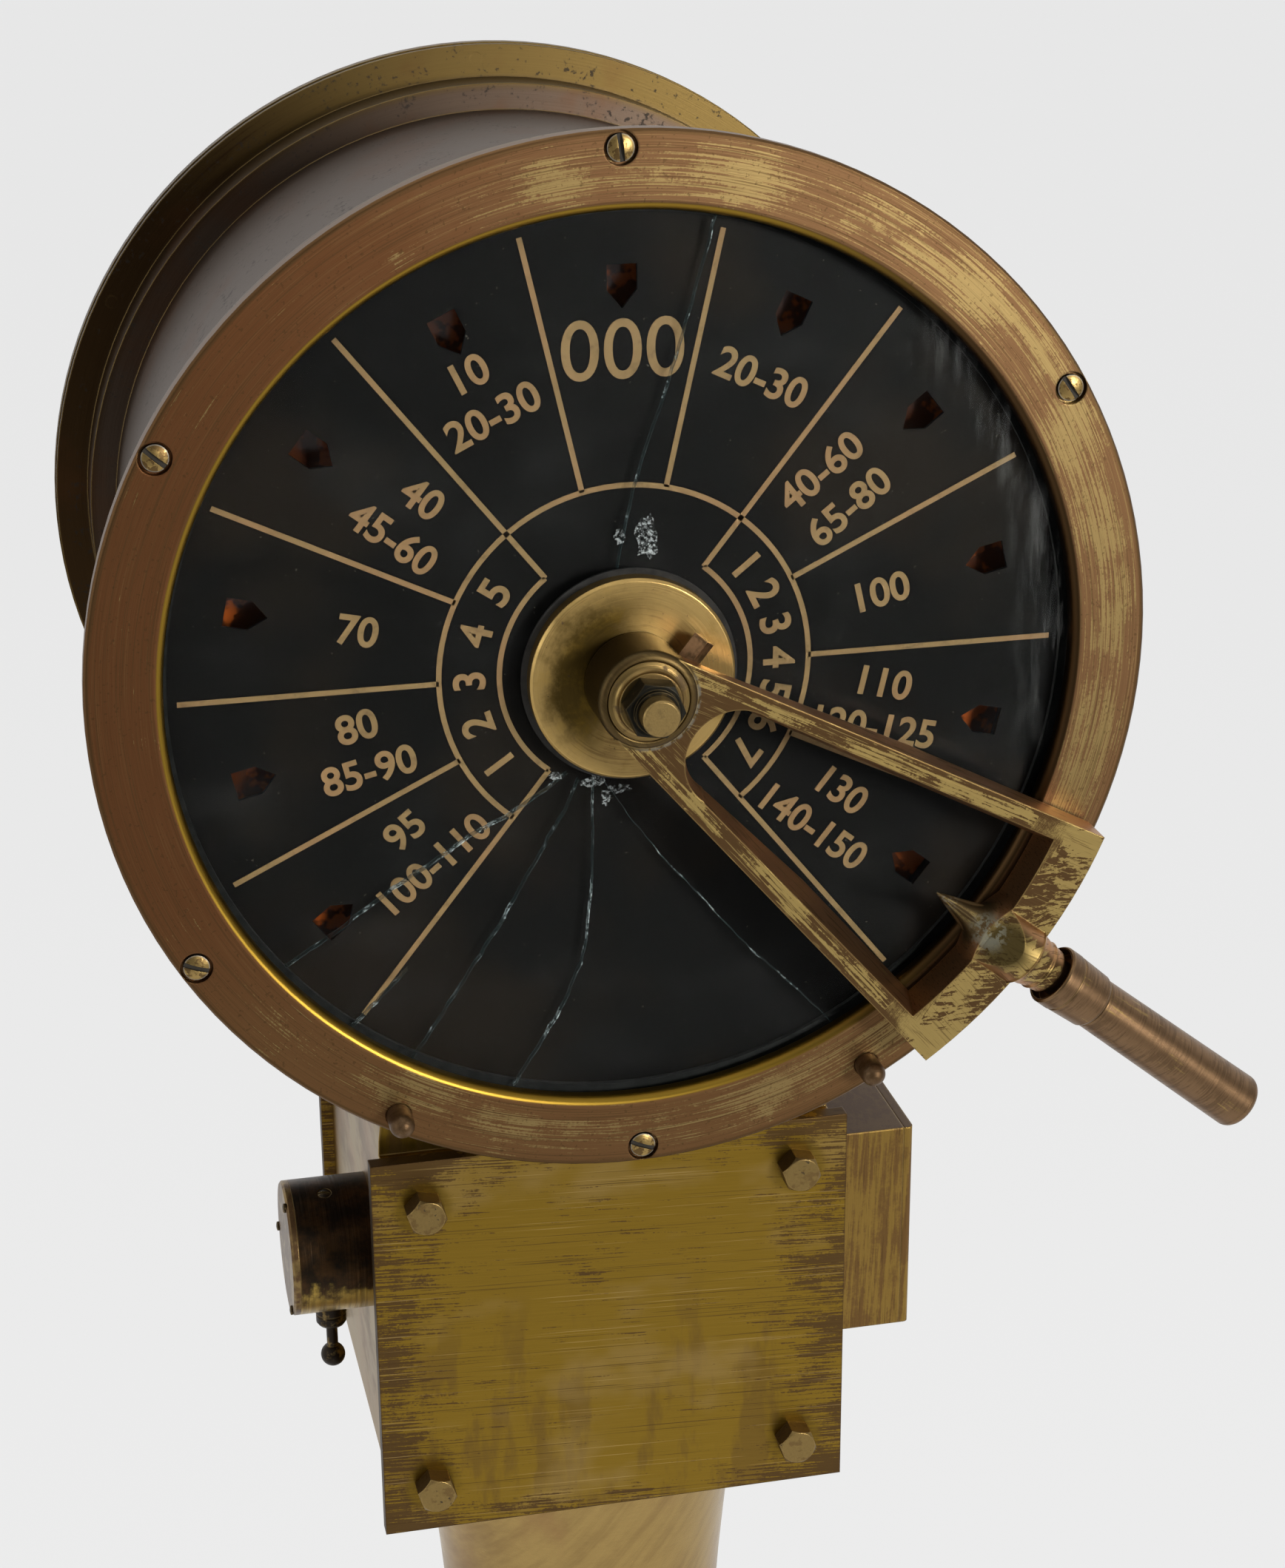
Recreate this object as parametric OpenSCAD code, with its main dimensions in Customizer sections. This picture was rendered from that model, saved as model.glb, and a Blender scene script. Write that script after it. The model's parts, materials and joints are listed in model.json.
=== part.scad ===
// Pedestal engine order telegraph with a lamp-window dial and a wishbone lever.
// Units are millimetres, +Z is up, and the origin is on the deck at the column's axis.
// The operator stands on the -Y side. Head modules are drawn about the drum's axis,
// with y = 0 at the front face of the bezel and y growing towards the rear.

/* [Head] */
// Height of the drum's axis above the deck
axis_h = 980; // [900:10:1040]
// Distance from the bezel's front face back to the column's axis
column_back = 120; // [116:1:124]
// Outer radius of the front bezel
bezel_r = 190; // [189:0.5:192]
// Radius of the opening in the front bezel
window_r = 163; // [161:0.5:164]
// Thickness of the front bezel
bezel_t = 6; // [5:0.5:6]
// Depth of the head from the front bezel's face to the rear bezel's face
head_depth = 284; // [282:1:290]
// Outer radius of the drum between its stepped ends
drum_r = 163.5; // [163:0.5:165]
// Wall of the drum
drum_wall = 4; // [3:0.5:4]

/* [Dial] */
// Orders round the full circle, of which the lowest three places stay bare
sectors = 14; // [14:1:14]
// Windows in the dial
windows = 11; // [11:2:11]
// Radius of the ring of windows
window_ring_r = 136; // [134:0.5:138]
// Width of a window across the ring
window_w = 10.5; // [9:0.5:12]
// Length of a window along the radius, its point included
window_l = 15; // [13:0.5:16]

/* [Casing] */
// Width of the casing over its side faces
casing_w = 180; // [178:1:182]
// Height of the casing below its neck
casing_h = 157; // [155:1:160]
// Drop from the drum's axis to the casing's shoulder
casing_drop = 205; // [204:0.5:207]
// Wall of the casing
casing_wall = 6; // [5:0.5:7]
// Margin that each cover plate stands out past the casing's side
plate_margin = 5; // [4:0.5:6]
// Thickness of each cover plate
plate_t = 6.5; // [6:0.5:7]

/* [Pedestal] */
// Radius of the base flange
base_r = 165; // [160:1:180]
// Thickness of the base flange at its rim
base_t = 16; // [14:1:20]
// Diameter of the deck bolts' circle
base_pcd = 280; // [270:1:285]
// Number of deck bolts
base_bolts = 6; // [6:2:8]
// Radius of each deck bolt hole
base_hole_r = 7; // [6:0.5:8]
// Radius of the cable way through the base
cable_way_r = 46; // [40:1:48]

/* [Lever] */
// Angle of the lever below the horizontal at rest, in degrees
lever_rest = 38.57; // [38:0.01:39]
// Radius of the inner face of the lever's cross bar
bar_in_r = 166.6; // [166:0.1:167]
// Radius of the outer face of the lever's cross bar
bar_out_r = 185.2; // [184.5:0.1:186]
// Distance from the drum's axis to the end of the grip
grip_end = 300; // [290:1:312]
// Largest radius of the grip
grip_r = 10.9; // [10:0.1:12]
// Radius of the circle of the two stop pins
stop_r = 183; // [182:0.5:184]
// Angle from straight down to each stop pin, in degrees
stop_angle = 29; // [28:0.5:30]
// Height of the two stop pins above the front bezel
stop_length = 13; // [11:0.5:15]

/* [Hidden] */
$fn = 96;
clear = 0.05;
air = 0.4;
tiny = 0.02;

brass = [0.62, 0.48, 0.22];
dark_brass = [0.42, 0.31, 0.17];
copper = [0.52, 0.34, 0.21];
bronze = [0.55, 0.38, 0.2];
steel = [0.5, 0.5, 0.5];
black = [0.06, 0.06, 0.06];
rubber = [0.1, 0.1, 0.1];
bakelite = [0.2, 0.1, 0.06];

// Places along the head's axis, from the front
glass_t = 4;
glass_y = bezel_t;
seal_y = glass_y + glass_t;
dial_y = seal_y + 2;
dial_t = 1.5;
lamp_y = dial_y + dial_t;
lamp_shoulder_y = 28;
lamp_end_y = 52;
lamp_cap_r = 6.4;
cell_r = 10;
filter_half = 12;
filter_in = 12;
filter_t = 1.2;
socket_l = 8;
spider_y = 64;
spider_t = 8;
gear_y = spider_y + spider_t + 3;
gear_t = 9;
detent_y = gear_y + gear_t + 5;
detent_t = 7;
contact_y = detent_y + detent_t + 8;
contact_l = 46;
bridge_y = contact_y + contact_l + 8;
bridge_t = 10;
gong_y = bridge_y + bridge_t + 12;
step_l = 22;
flange_t = 5;
rear_bezel_t = 6;
rear_y = head_depth - rear_bezel_t;
front_step_y = bezel_t + flange_t;
rear_step_y = rear_y - flange_t;
step_r = drum_r + 10.5;
front_flange_r = bezel_r - 0.5;
rear_flange_r = bezel_r - 3;
bezel_screw_r = bezel_r - 6.2;
rear_screw_r = bezel_screw_r - 2.5;
screw_turn = 30.76;
seat_r = step_r - drum_wall;
sector = 360 / sectors;

// Shaft, gears and detent
shaft_r = 8;
sleeve_r = 15;
bush_r = 11;
tooth_module = 1.5;
gear_teeth = 48;
gear_pitch_r = tooth_module * gear_teeth / 2;
contact_drop = 2 * gear_pitch_r;
contact_r = 26;
contact_shaft_r = 5;
tracks = 3;
track_pitch = 13;
detent_r = 48;
roller_r = 7;
roller_at = detent_r + roller_r + air;
gong_at = [-53.7, 31];
gong_r = 36.4;
hammer_pivot = [29.4, 17];
hammer_r = 6;
hammer_y = gong_y + 13;
pillar_r = 6;
pillar_ring_r = 118;
arm_pivot = [-78, 45];
spring_x = -50;
spring_foot = 53.2;
spring_top = 80;

// Lever, in its own frame: u runs out along the lever, v across it
boss_r = 17.8;
boss_front = -25;
boss_back = -2.2;
boss_rim_r = 15;
boss_seat = 0.8;
arm_front = -23.6;
washer_t = 3;
washer_r = 14.3;
shaft_front = -30;
stud_r = 6.6;
bar_front = -18.5;
bar_edge = -17.8;
bar_back = -2;
arm_slope = 0.196;
opening_u = 40.6;
bar_end_v = 52.8;
handle_y = -14;
neck_r = 12.2;
spike_tip = 142;
spike_y = -9.5;
facet_end = 177.2;
neck_end = 196.5;
collar_end = 219.5;
cotter_u = 8.4;
cotter_y = -9.5;
cotter_w = 6;
cotter_low = -15.5;
cotter_top = 27;

// Casing and plates
plate_y = 43;
casing_front = plate_y + plate_t;
casing_back = 213;
casing_low = -casing_drop - casing_h;
plate_w = casing_w + 2 * plate_margin;
plate_top = -casing_drop + 1.8;
plate_low = casing_low - 7.6;
plate_bolt_in = 20.4;
bolt_af = 14;
bolt_head_h = 8.5;
neck_front = 55;
neck_back = 207;
neck_top_w = 132;
neck_bend_r = 75;
column_foot = base_t + 12;
socket_depth = 14;
column_top = axis_h + casing_low;
column_bolt_r = 52;
column_ring_t = 12;

// Round switch housing on the left and terminal box on the right
switch_y = 98;
switch_z = -264.8;
switch_r = 27.2;
switch_l = 31;
cap_t = 3;
switch_x = -casing_w / 2;
toggle_x = switch_x - 17;
toggle_pivot_z = switch_z - switch_r + 0.5;
ball_z = -316.6;
ball_r = 5;
box_y = 60;
box_d = 96;
box_out = 38.5;
box_top = -221.5;
box_h = 90.5;
box_x = casing_w / 2;
lid_t = 4;
lid_screw_r = 3.6;
lid_screw_t = 1.8;
gland_r = 8;
gland_x = box_x + 17;
gland_places = [box_top - 28, box_top - 62];

// Moves a drawing made about the drum's axis to its place on the pedestal
module on_head() translate([0, -column_back, axis_h]) children();

// Stands a drawing made along +Z along +Y, starting at depth y
module along(y = 0) translate([0, y, 0]) rotate([-90, 0, 0]) children();

// Extrudes a front-view outline from depth y towards the rear
module sheet(y, thick) translate([0, y + thick, 0]) rotate([90, 0, 0]) linear_extrude(thick) children();

// A round bar or bore along Y
module rod(r, y, length) along(y) cylinder(r = r, h = length);

// A round bar or bore along X, of the axis through y and z
module cross_rod(r, x, length) translate([x, 0, 0]) rotate([0, 90, 0]) cylinder(r = r, h = length);

// A ring along Y
module ring(r_out, r_in, y, length) {
    difference() {
        rod(r_out, y, length);
        rod(r_in, y - 1, length + 2);
    }
}

// Copies a child round the head's axis, first place at angle start
module around(count, start = 0, step = 0) {
    turn = step == 0 ? 360 / count : step;
    for (i = [0 : count - 1]) rotate([0, -(start + i * turn), 0]) children();
}

// Puts a child at each window of the dial, its +X running outwards
module at_windows() around(windows, 90 - sector * (windows - 1) / 2, sector) children();

// Turns the lever's frame to its rest order
module at_lever() on_head() rotate([0, lever_rest, 0]) children();

// Points on a circular arc
function arc(cx, cy, r, a0, a1, steps = 12) =
    [for (i = [0 : steps]) let (a = a0 + (a1 - a0) * i / steps) [cx + r * cos(a), cy + r * sin(a)]];

// A slotted screw with a domed head along +Y, its head's top at y = 0
module slotted_screw(head_r, head_t, shank_r, length, slot_turn = 20) {
    dome_t = 0.2 * head_r;
    dome_r = (head_r * head_r + dome_t * dome_t) / (2 * dome_t);
    dome_edge = asin(head_r / dome_r);
    slot_w = 0.36 * head_r;
    slot_t = 0.5 * head_t;
    difference() {
        along() rotate_extrude() polygon(concat(
            [[0, head_t], [head_r, head_t]], arc(0, dome_r, dome_r, 270 + dome_edge, 270, 5)));
        rotate([0, slot_turn, 0]) translate([-head_r - 1, -1, -slot_w / 2]) cube([2 * head_r + 2, slot_t + 1, slot_w]);
    }
    rod(shank_r, head_t - tiny, length);
}

// A hexagon-head bolt along +Y, its head's face at y = 0
module hex_bolt(across, head_t, shank_r, length, turn = 0) {
    rotate([0, turn, 0]) intersection() {
        along() cylinder(r = across / sqrt(3), h = head_t, $fn = 6);
        along() cylinder(r1 = across / 2 - 0.2, r2 = across / 2 + head_t, h = head_t);
    }
    rod(shank_r, head_t - tiny, length);
}

// Involute spur gear drawn in the plane, with the first tooth on +X
function involute(rb, t) = [rb * (cos(t) + t * PI / 180 * sin(t)), rb * (sin(t) - t * PI / 180 * cos(t))];
function turned(p, a) = [p[0] * cos(a) - p[1] * sin(a), p[0] * sin(a) + p[1] * cos(a)];
function mirrored(p) = [p[0], -p[1]];
module gear_outline(teeth, play = 0.32) {
    rp = tooth_module * teeth / 2;
    rb = rp * cos(20);
    ro = rp + tooth_module * 0.95;
    rf = rp - tooth_module * 1.3;
    roll_out = sqrt(pow(ro / rb, 2) - 1) * 180 / PI;
    roll_pitch = tan(20) * 180 / PI;
    at_pitch = roll_pitch - 20;
    half = 90 / teeth - play / 2 / rp * 180 / PI + at_pitch;
    flank = [for (i = [0 : 4]) turned(involute(rb, roll_out * i / 4), -half)];
    low = turned([rf, 0], -half);
    side = concat([low], flank);
    back = [for (i = [len(side) - 1 : -1 : 0]) mirrored(side[i])];
    tooth = concat(side, back);
    polygon([for (k = [0 : teeth - 1]) for (p = tooth) turned(p, k * 360 / teeth)]);
}

// An open coil of round wire along +Z, as one closed tube
module coil(coil_r, wire_r, turns, height, sides = 6, steps = 14) {
    rings = turns * steps;
    points = [for (i = [0 : rings]) for (j = [0 : sides - 1])
        let (a = 360 * i / steps, b = 360 * j / sides, r = coil_r + wire_r * cos(b))
        [r * cos(a), r * sin(a), wire_r + (height - 2 * wire_r) * i / rings + wire_r * sin(b)]];
    walls = [for (i = [0 : rings - 1]) for (j = [0 : sides - 1])
        let (p = i * sides + j, q = i * sides + (j + 1) % sides)
            each [[p, q, q + sides], [p, q + sides, p + sides]]];
    near = [for (j = [1 : sides - 2]) [0, j + 1, j]];
    last = rings * sides;
    far = [for (j = [1 : sides - 2]) [last, last + j, last + j + 1]];
    polyhedron(points, concat(walls, near, far));
}

// Pedestal
module base_flange() {
    boss_top = column_foot + socket_depth;
    collar_r = 84;
    fillet = 30;
    color(dark_brass) difference() {
        rotate_extrude() polygon(concat(
            [[cable_way_r, 0], [base_r, 0], [base_r, base_t - 3], [base_r - 3, base_t]],
            arc(collar_r + fillet, base_t + fillet * 0.8, fillet, 270, 180, 8),
            [[collar_r - 4, boss_top], [cable_way_r, boss_top]]));
        for (i = [0 : base_bolts - 1]) rotate([0, 0, (i + 0.5) * 360 / base_bolts])
            translate([base_pcd / 2, 0, -1]) cylinder(r = base_hole_r, h = base_t + 2);
        translate([0, 0, column_foot]) cylinder(r = column_r(0) + clear, h = socket_depth + 1);
    }
}

// Outer radius of the column at share t of its height, wide at both ends
function column_r(t) = 53 + 17 * pow(t, 5) + 14 * pow(1 - t, 12);

module column() {
    wall = 7;
    low = column_foot + socket_depth;
    height = column_top - low;
    steps = 24;
    heights = [for (i = [0 : steps]) low + height * i / steps];
    outer = [for (i = [0 : steps]) [column_r(i / steps), heights[i]]];
    inner = [for (i = [steps : -1 : 0]) [column_r(i / steps) - wall, heights[i]]];
    color(brass) difference() {
        union() {
            rotate_extrude() polygon(concat([[column_r(0), column_foot]], outer, inner,
                [[column_r(0) - wall, column_foot]]));
            difference() {
                translate([0, 0, column_top - column_ring_t]) cylinder(r = 64, h = column_ring_t);
                translate([0, 0, column_top - column_ring_t - 1]) cylinder(r = 42, h = column_ring_t + 2);
            }
        }
        column_bolt_places() translate([0, 0, -column_ring_t - 1]) cylinder(r = 4.2, h = column_ring_t + 2);
    }
}

// Four places round the column's top, on its upper face
module column_bolt_places() {
    for (i = [0 : 3]) rotate([0, 0, 45 + 90 * i]) translate([column_bolt_r, 0, column_top]) children();
}

module column_bolts() {
    head_t = 6;
    color(steel) column_bolt_places() translate([0, 0, casing_wall + head_t]) rotate([-90, 0, 0])
        hex_bolt(13, head_t, 4, casing_wall + column_ring_t - 1);
}

// Half outline of the neck, from the casing's shoulder up into the drum
function neck_side(half_w, top_half) =
    let (bend_end = acos(1 - (half_w - top_half) / neck_bend_r))
    concat(
        [[half_w, -casing_drop - 1], [half_w, -casing_drop]],
        arc(half_w - neck_bend_r, -casing_drop, neck_bend_r, 0, bend_end, 10),
        [[top_half, -90]]);
function both_sides(half) = concat(half, [for (i = [len(half) - 1 : -1 : 0]) [-half[i][0], half[i][1]]]);

module casing() {
    inner_w = casing_w - 2 * casing_wall;
    depth = casing_back - casing_front;
    post_w = 18;
    post_h = 28;
    way_low = 58;
    way_top = 44;
    way_bend = -casing_drop + 29;
    color(brass) on_head() difference() {
        union() {
            difference() {
                translate([-casing_w / 2, casing_front, casing_low]) cube([casing_w, depth, casing_h]);
                translate([-inner_w / 2, casing_front - 1, casing_low + casing_wall])
                    cube([inner_w, depth + 2, casing_h - 2 * casing_wall]);
            }
            for (x = [-inner_w / 2, inner_w / 2 - post_w], z = [-casing_drop - post_h, casing_low])
                translate([x, casing_front, z]) cube([post_w, depth, post_h]);
            sheet(neck_front, neck_back - neck_front)
                polygon(both_sides(neck_side(casing_w / 2, neck_top_w / 2)));
        }
        sheet(neck_front + casing_wall, neck_back - neck_front - 2 * casing_wall) polygon(both_sides([
            [way_low, -casing_drop - casing_wall - 1], [way_low, way_bend],
            [way_top, way_bend + 8], [way_top, -80]]));
        rod(drum_r + tiny, 0, 300);
        translate([0, column_back, casing_low - 1]) cylinder(r = 40, h = casing_wall + 2);
        translate([0, column_back, -axis_h]) column_bolt_places()
            translate([0, 0, -1]) cylinder(r = 4.2, h = casing_wall + 2);
        plate_bolt_places() {
            rod(3.2, casing_front - 1, 12);
            rod(3.2, casing_back - 11, 12);
        }
        saddle_bolt_places() translate([0, 0, -30]) cylinder(r = 4.2, h = 40);
        translate([0, switch_y, switch_z]) cross_rod(14, switch_x - 1, casing_wall + 2);
        box_centre() cross_rod(16, box_x - casing_wall - 1, casing_wall + 2);
    }
}

module plate_bolt_places() {
    for (x = [-1, 1], z = [plate_top - plate_bolt_in, plate_low + plate_bolt_in])
        translate([x * (plate_w / 2 - plate_bolt_in), 0, z]) children();
}

module cover_plate(y) {
    difference() {
        translate([-plate_w / 2, y, plate_low]) cube([plate_w, plate_t, plate_top - plate_low]);
        plate_bolt_places() rod(4.2, y - 1, plate_t + 2);
    }
}

module front_cover_plate() color(brass) on_head() cover_plate(plate_y);
module rear_cover_plate() color(brass) on_head() cover_plate(casing_back);

// Cover bolts, of which the heads stand on the plane y = 0 and point to the front
module cover_bolts() {
    shank_r = 3.1;
    plate_bolt_places() translate([0, -bolt_head_h, 0])
        hex_bolt(bolt_af, bolt_head_h, shank_r, plate_t + 10, 12);
}

module front_cover_bolts() color(dark_brass) on_head() translate([0, plate_y, 0]) cover_bolts();

module rear_cover_bolts() {
    color(dark_brass) on_head() translate([0, casing_back + plate_t, 0]) mirror([0, 1, 0]) cover_bolts();
}

// Drum and its ends
module drum_shell() {
    inner_r = drum_r - drum_wall;
    rear_seat_y = rear_y - 4;
    profile = [
        [inner_r, lamp_shoulder_y], [seat_r, lamp_shoulder_y], [seat_r, bezel_t], [front_flange_r, bezel_t],
        [front_flange_r, front_step_y - 1], [step_r, front_step_y], [step_r, front_step_y + step_l],
        [drum_r, front_step_y + step_l + 1], [drum_r, rear_step_y - step_l - 1],
        [step_r, rear_step_y - step_l], [step_r, rear_step_y], [rear_flange_r, rear_step_y + 1],
        [rear_flange_r, rear_y], [seat_r, rear_y], [seat_r, rear_seat_y], [inner_r, rear_seat_y],
        [inner_r, rear_seat_y - 8], [seat_r, rear_seat_y - 8], [seat_r, rear_step_y - step_l + drum_wall],
        [inner_r, rear_step_y - step_l + drum_wall]];
    color(dark_brass) on_head() difference() {
        along() rotate_extrude($fn = 160) polygon(profile);
        translate([-50, neck_front + 15, -200]) cube([100, 110, 80]);
        saddle_bolt_places() translate([0, 0, -12]) cylinder(r = 4.2, h = 24);
        around(6, screw_turn) translate([bezel_screw_r, 0, 0]) rod(2.6, bezel_t - 1, flange_t);
        stop_pin_places() rod(3.6, bezel_t - 1, flange_t);
        around(6, screw_turn) translate([rear_screw_r, 0, 0]) rod(2.6, rear_y - flange_t + 1, flange_t);
    }
}

module saddle_bolt_places() {
    x = 52;
    for (s = [-1, 1], y = [neck_front + 30, neck_back - 30])
        translate([s * x, y, -sqrt(pow(drum_r - drum_wall, 2) - x * x)]) children();
}

module saddle_bolts() {
    across = 10;
    head_t = 5;
    length = 18;
    color(steel) on_head() saddle_bolt_places() translate([0, 0, head_t + 3.2]) rotate([-90, 0, 0])
        hex_bolt(across, head_t, 4, length);
}

module stop_pin_places() {
    for (s = [-1, 1]) rotate([0, 90 + s * stop_angle, 0]) translate([stop_r, 0, 0]) children();
}

module front_bezel() {
    lip = 3.6;
    color(brass) on_head() difference() {
        along() rotate_extrude($fn = 160) polygon(concat(
            arc(window_r + lip, lip, lip, 180, 270, 6),
            [[bezel_r - 0.8, 0], [bezel_r, 0.8], [bezel_r, bezel_t], [window_r, bezel_t]]));
        around(6, screw_turn) translate([bezel_screw_r, 0, 0]) {
            rod(5.8, -1, 3.6);
            rod(3.2, -1, bezel_t + 2);
        }
        stop_pin_places() rod(4.7, -1, bezel_t + 2);
    }
}

module bezel_screws() {
    slot_droops = [55, 83, 42, 20, 22, 35];
    color(brass) on_head() for (i = [0 : 5]) let (turn = screw_turn + 60 * i)
        rotate([0, -turn, 0]) translate([bezel_screw_r, -0.3, 0])
            slotted_screw(4.7, 2.9, 2.5, bezel_t + flange_t - 3.9, turn + slot_droops[i]);
}

module stop_pins() {
    dome = 4.6;
    color(dark_brass) on_head() stop_pin_places() {
        along(-stop_length) rotate_extrude() polygon(concat([[0, 0]], arc(0, dome, dome, 270, 360, 8),
            [[dome, stop_length + bezel_t], [0, stop_length + bezel_t]]));
        rod(3.5, bezel_t - tiny, flange_t - 1.5);
    }
}

module front_glass() {
    color([0.75, 0.85, 0.85, 0.35]) on_head() ring(seat_r - 1, sleeve_r + 3, glass_y, glass_t);
}

module glass_seal() color(rubber) on_head() ring(seat_r - 0.5, window_r - 1.5, seal_y, 2);

// Outline of one dial window, its point towards the hub
module window_outline(grow = 0) {
    half = window_w / 2 + grow;
    out = window_l / 2 + grow;
    shoulder = 0.42 * window_l - out;
    polygon([[-out, 0], [shoulder, half], [out, half], [out, -half], [shoulder, -half]]);
}

module dial_plate() {
    color(black) on_head() difference() {
        ring(seat_r - 0.6, sleeve_r + 0.5, dial_y, dial_t);
        at_windows() translate([window_ring_r, 0, 0]) sheet(dial_y - 1, dial_t + 2) window_outline();
    }
}

module window_filter() {
    color([0.85, 0.3, 0.05]) on_head()
        ring(window_ring_r + filter_half, window_ring_r - filter_half, lamp_y + filter_in, filter_t);
}

module lamp_housing() {
    inner = drum_r - drum_wall - 0.5;
    low = window_ring_r - 24;
    color(black) on_head() difference() {
        along() rotate_extrude($fn = 160) polygon([
            [low, lamp_y], [seat_r - 0.6, lamp_y], [seat_r - 0.6, lamp_shoulder_y], [inner, lamp_shoulder_y],
            [inner, lamp_end_y], [low, lamp_end_y]]);
        ring(window_ring_r + filter_half + 0.2, window_ring_r - filter_half - 0.2,
            lamp_y - 1, filter_in + filter_t + 1);
        at_windows() translate([window_ring_r, 0, 0]) rod(cell_r, lamp_y, lamp_end_y);
    }
}

module lamp_sockets() {
    socket_r = 12;
    color(bakelite) on_head() at_windows() translate([window_ring_r, 0, 0])
        ring(socket_r, lamp_cap_r + 0.1, lamp_end_y, socket_l);
}

module lamps() {
    bulb_r = 5.5;
    bulb_l = 22;
    color([1, 0.85, 0.6]) on_head() at_windows() translate([window_ring_r, 0, 0])
        along(lamp_end_y - bulb_l) rotate_extrude($fn = 32) polygon(concat(
            [[0, 0]], arc(0, bulb_r, bulb_r, 270, 360, 6),
            [[5, bulb_l], [lamp_cap_r, bulb_l], [lamp_cap_r, bulb_l + socket_l], [0, bulb_l + socket_l]]));
}

module hub_disc() {
    disc_r = 36.9;
    disc_t = 6.2;
    disc_proud = 1.2;
    color(brass) on_head() difference() {
        union() {
            along(-disc_proud) rotate_extrude() polygon([
                [0, 0], [disc_r - 1, 0], [disc_r, 1], [disc_r, disc_t], [0, disc_t]]);
            rod(sleeve_r, 4, spider_y + spider_t - 4);
        }
        rod(bush_r, -2, 90);
    }
}

module hub_seal() color(rubber) on_head() ring(39, sleeve_r + clear, 5, 1);

module front_bush() color(bronze) on_head() ring(bush_r, shaft_r + clear, 0, spider_y + spider_t);

// Three-armed plate that carries the shafts
module frame_plate(y, thick, hole_r) {
    difference() {
        union() {
            rod(26, y, thick);
            around(3, 30) translate([0, y, -11]) cube([pillar_ring_r + 12, thick, 22]);
        }
        rod(hole_r, y - 1, thick + 2);
        translate([0, 0, -contact_drop]) rod(contact_shaft_r + clear, y - 1, thick + 2);
        around(3, 30) translate([pillar_ring_r, 0, 0]) rod(3.1, y - 1, thick + 2);
    }
}

module front_spider() {
    back = spider_y + spider_t;
    post_end = detent_y + detent_t + 1;
    color(dark_brass) on_head() {
        frame_plate(spider_y, spider_t, sleeve_r);
        ring(drum_r - drum_wall, pillar_ring_r + 28, spider_y, spider_t);
        around(3, 30) translate([pillar_ring_r + 10, spider_y, -11]) cube([25, spider_t, 22]);
        translate([arm_pivot[0], 0, arm_pivot[1]]) rod(3, back - 1, post_end - back + 1);
        translate([spring_x - 7, spider_y, 30]) cube([14, spider_t, spring_top + 5 - 30]);
        translate([spring_x - 7, back - 1, spring_top]) cube([14, post_end - back + 2, 5]);
    }
}

module frame_pillars() {
    color(steel) on_head() around(3, 30) translate([pillar_ring_r, 0, 0]) {
        rod(pillar_r, spider_y + spider_t, bridge_y - spider_y - spider_t);
        rod(3, spider_y, bridge_y + bridge_t - spider_y);
    }
}

module rear_bridge() {
    back = bridge_y + bridge_t;
    color(dark_brass) on_head() {
        frame_plate(bridge_y, bridge_t, bush_r);
        translate([gong_at[0], 0, gong_at[1]]) rod(5, back - 1, gong_y - back + 1);
        translate([gong_at[0], 0, gong_at[1]]) rod(3, back, gong_y - back + 8);
        translate([hammer_pivot[0], 0, hammer_pivot[1]]) rod(3, back - 1, hammer_y - back + 8);
    }
}

module rear_bush() color(bronze) on_head() ring(bush_r, shaft_r + clear, bridge_y, bridge_t);

module rear_bezel() {
    color(dark_brass) on_head() difference() {
        along() rotate_extrude($fn = 160) polygon([
            [150, rear_y], [rear_flange_r + 0.5, rear_y], [rear_flange_r + 0.5, head_depth - 0.8],
            [rear_flange_r - 0.3, head_depth], [151.6, head_depth], [150, head_depth - 1.6]]);
        around(6, screw_turn) translate([rear_screw_r, 0, 0]) {
            rod(5.8, head_depth - 2.6, 3.6);
            rod(3.2, rear_y - 1, rear_bezel_t + 2);
        }
    }
}

module rear_bezel_screws() {
    color(brass) on_head() for (i = [0 : 5]) rotate([0, -(screw_turn + 60 * i), 0])
        translate([rear_screw_r, head_depth + 0.3, 0]) mirror([0, 1, 0])
            slotted_screw(4.7, 2.9, 2.5, rear_bezel_t + flange_t - 3.9, 50 * i);
}

module rear_cover() {
    color(brass) on_head() {
        rod(seat_r - 0.5, rear_y - 4, 4);
        along(rear_y - tiny) rotate_extrude() polygon([[0, 0], [60, 0], [56, 4], [20, 4], [18, 6], [0, 6]]);
    }
}

// Bell
module gong() {
    dome_r = 42;
    wall = 2.5;
    spread = 60;
    color(brass) on_head() translate([gong_at[0], 0, gong_at[1]]) difference() {
        along(gong_y) rotate_extrude() polygon(concat(
            [[0, 0]], arc(0, dome_r, dome_r, 270, 270 + spread, 10),
            arc(0, dome_r, dome_r - wall, 270 + spread, 270, 10)));
        rod(3, gong_y - 1, 10);
    }
}

// Hammer pivot, hammer head and gong lie so that the arm is square to the blow
hammer_run = gong_at - hammer_pivot;
hammer_gap = gong_r + hammer_r + 2.5;
hammer_reach = sqrt(pow(norm(hammer_run), 2) - pow(hammer_gap, 2));
hammer_tilt = atan2(hammer_run[1], hammer_run[0]) - atan(hammer_gap / hammer_reach);

module bell_hammer() {
    tail = 26;
    color(steel) on_head() translate([hammer_pivot[0], hammer_y, hammer_pivot[1]]) {
        ring(6.5, 3 + clear, 0, 6);
        rotate([0, -hammer_tilt, 0]) {
            translate([5, 1, -2]) cube([hammer_reach - 8, 4, 4]);
            translate([hammer_reach, 0, 0]) rod(hammer_r, -3, 12);
        }
        rotate([0, -30, 0]) translate([5, 1, -2]) cube([tail, 4, 4]);
    }
}

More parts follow.
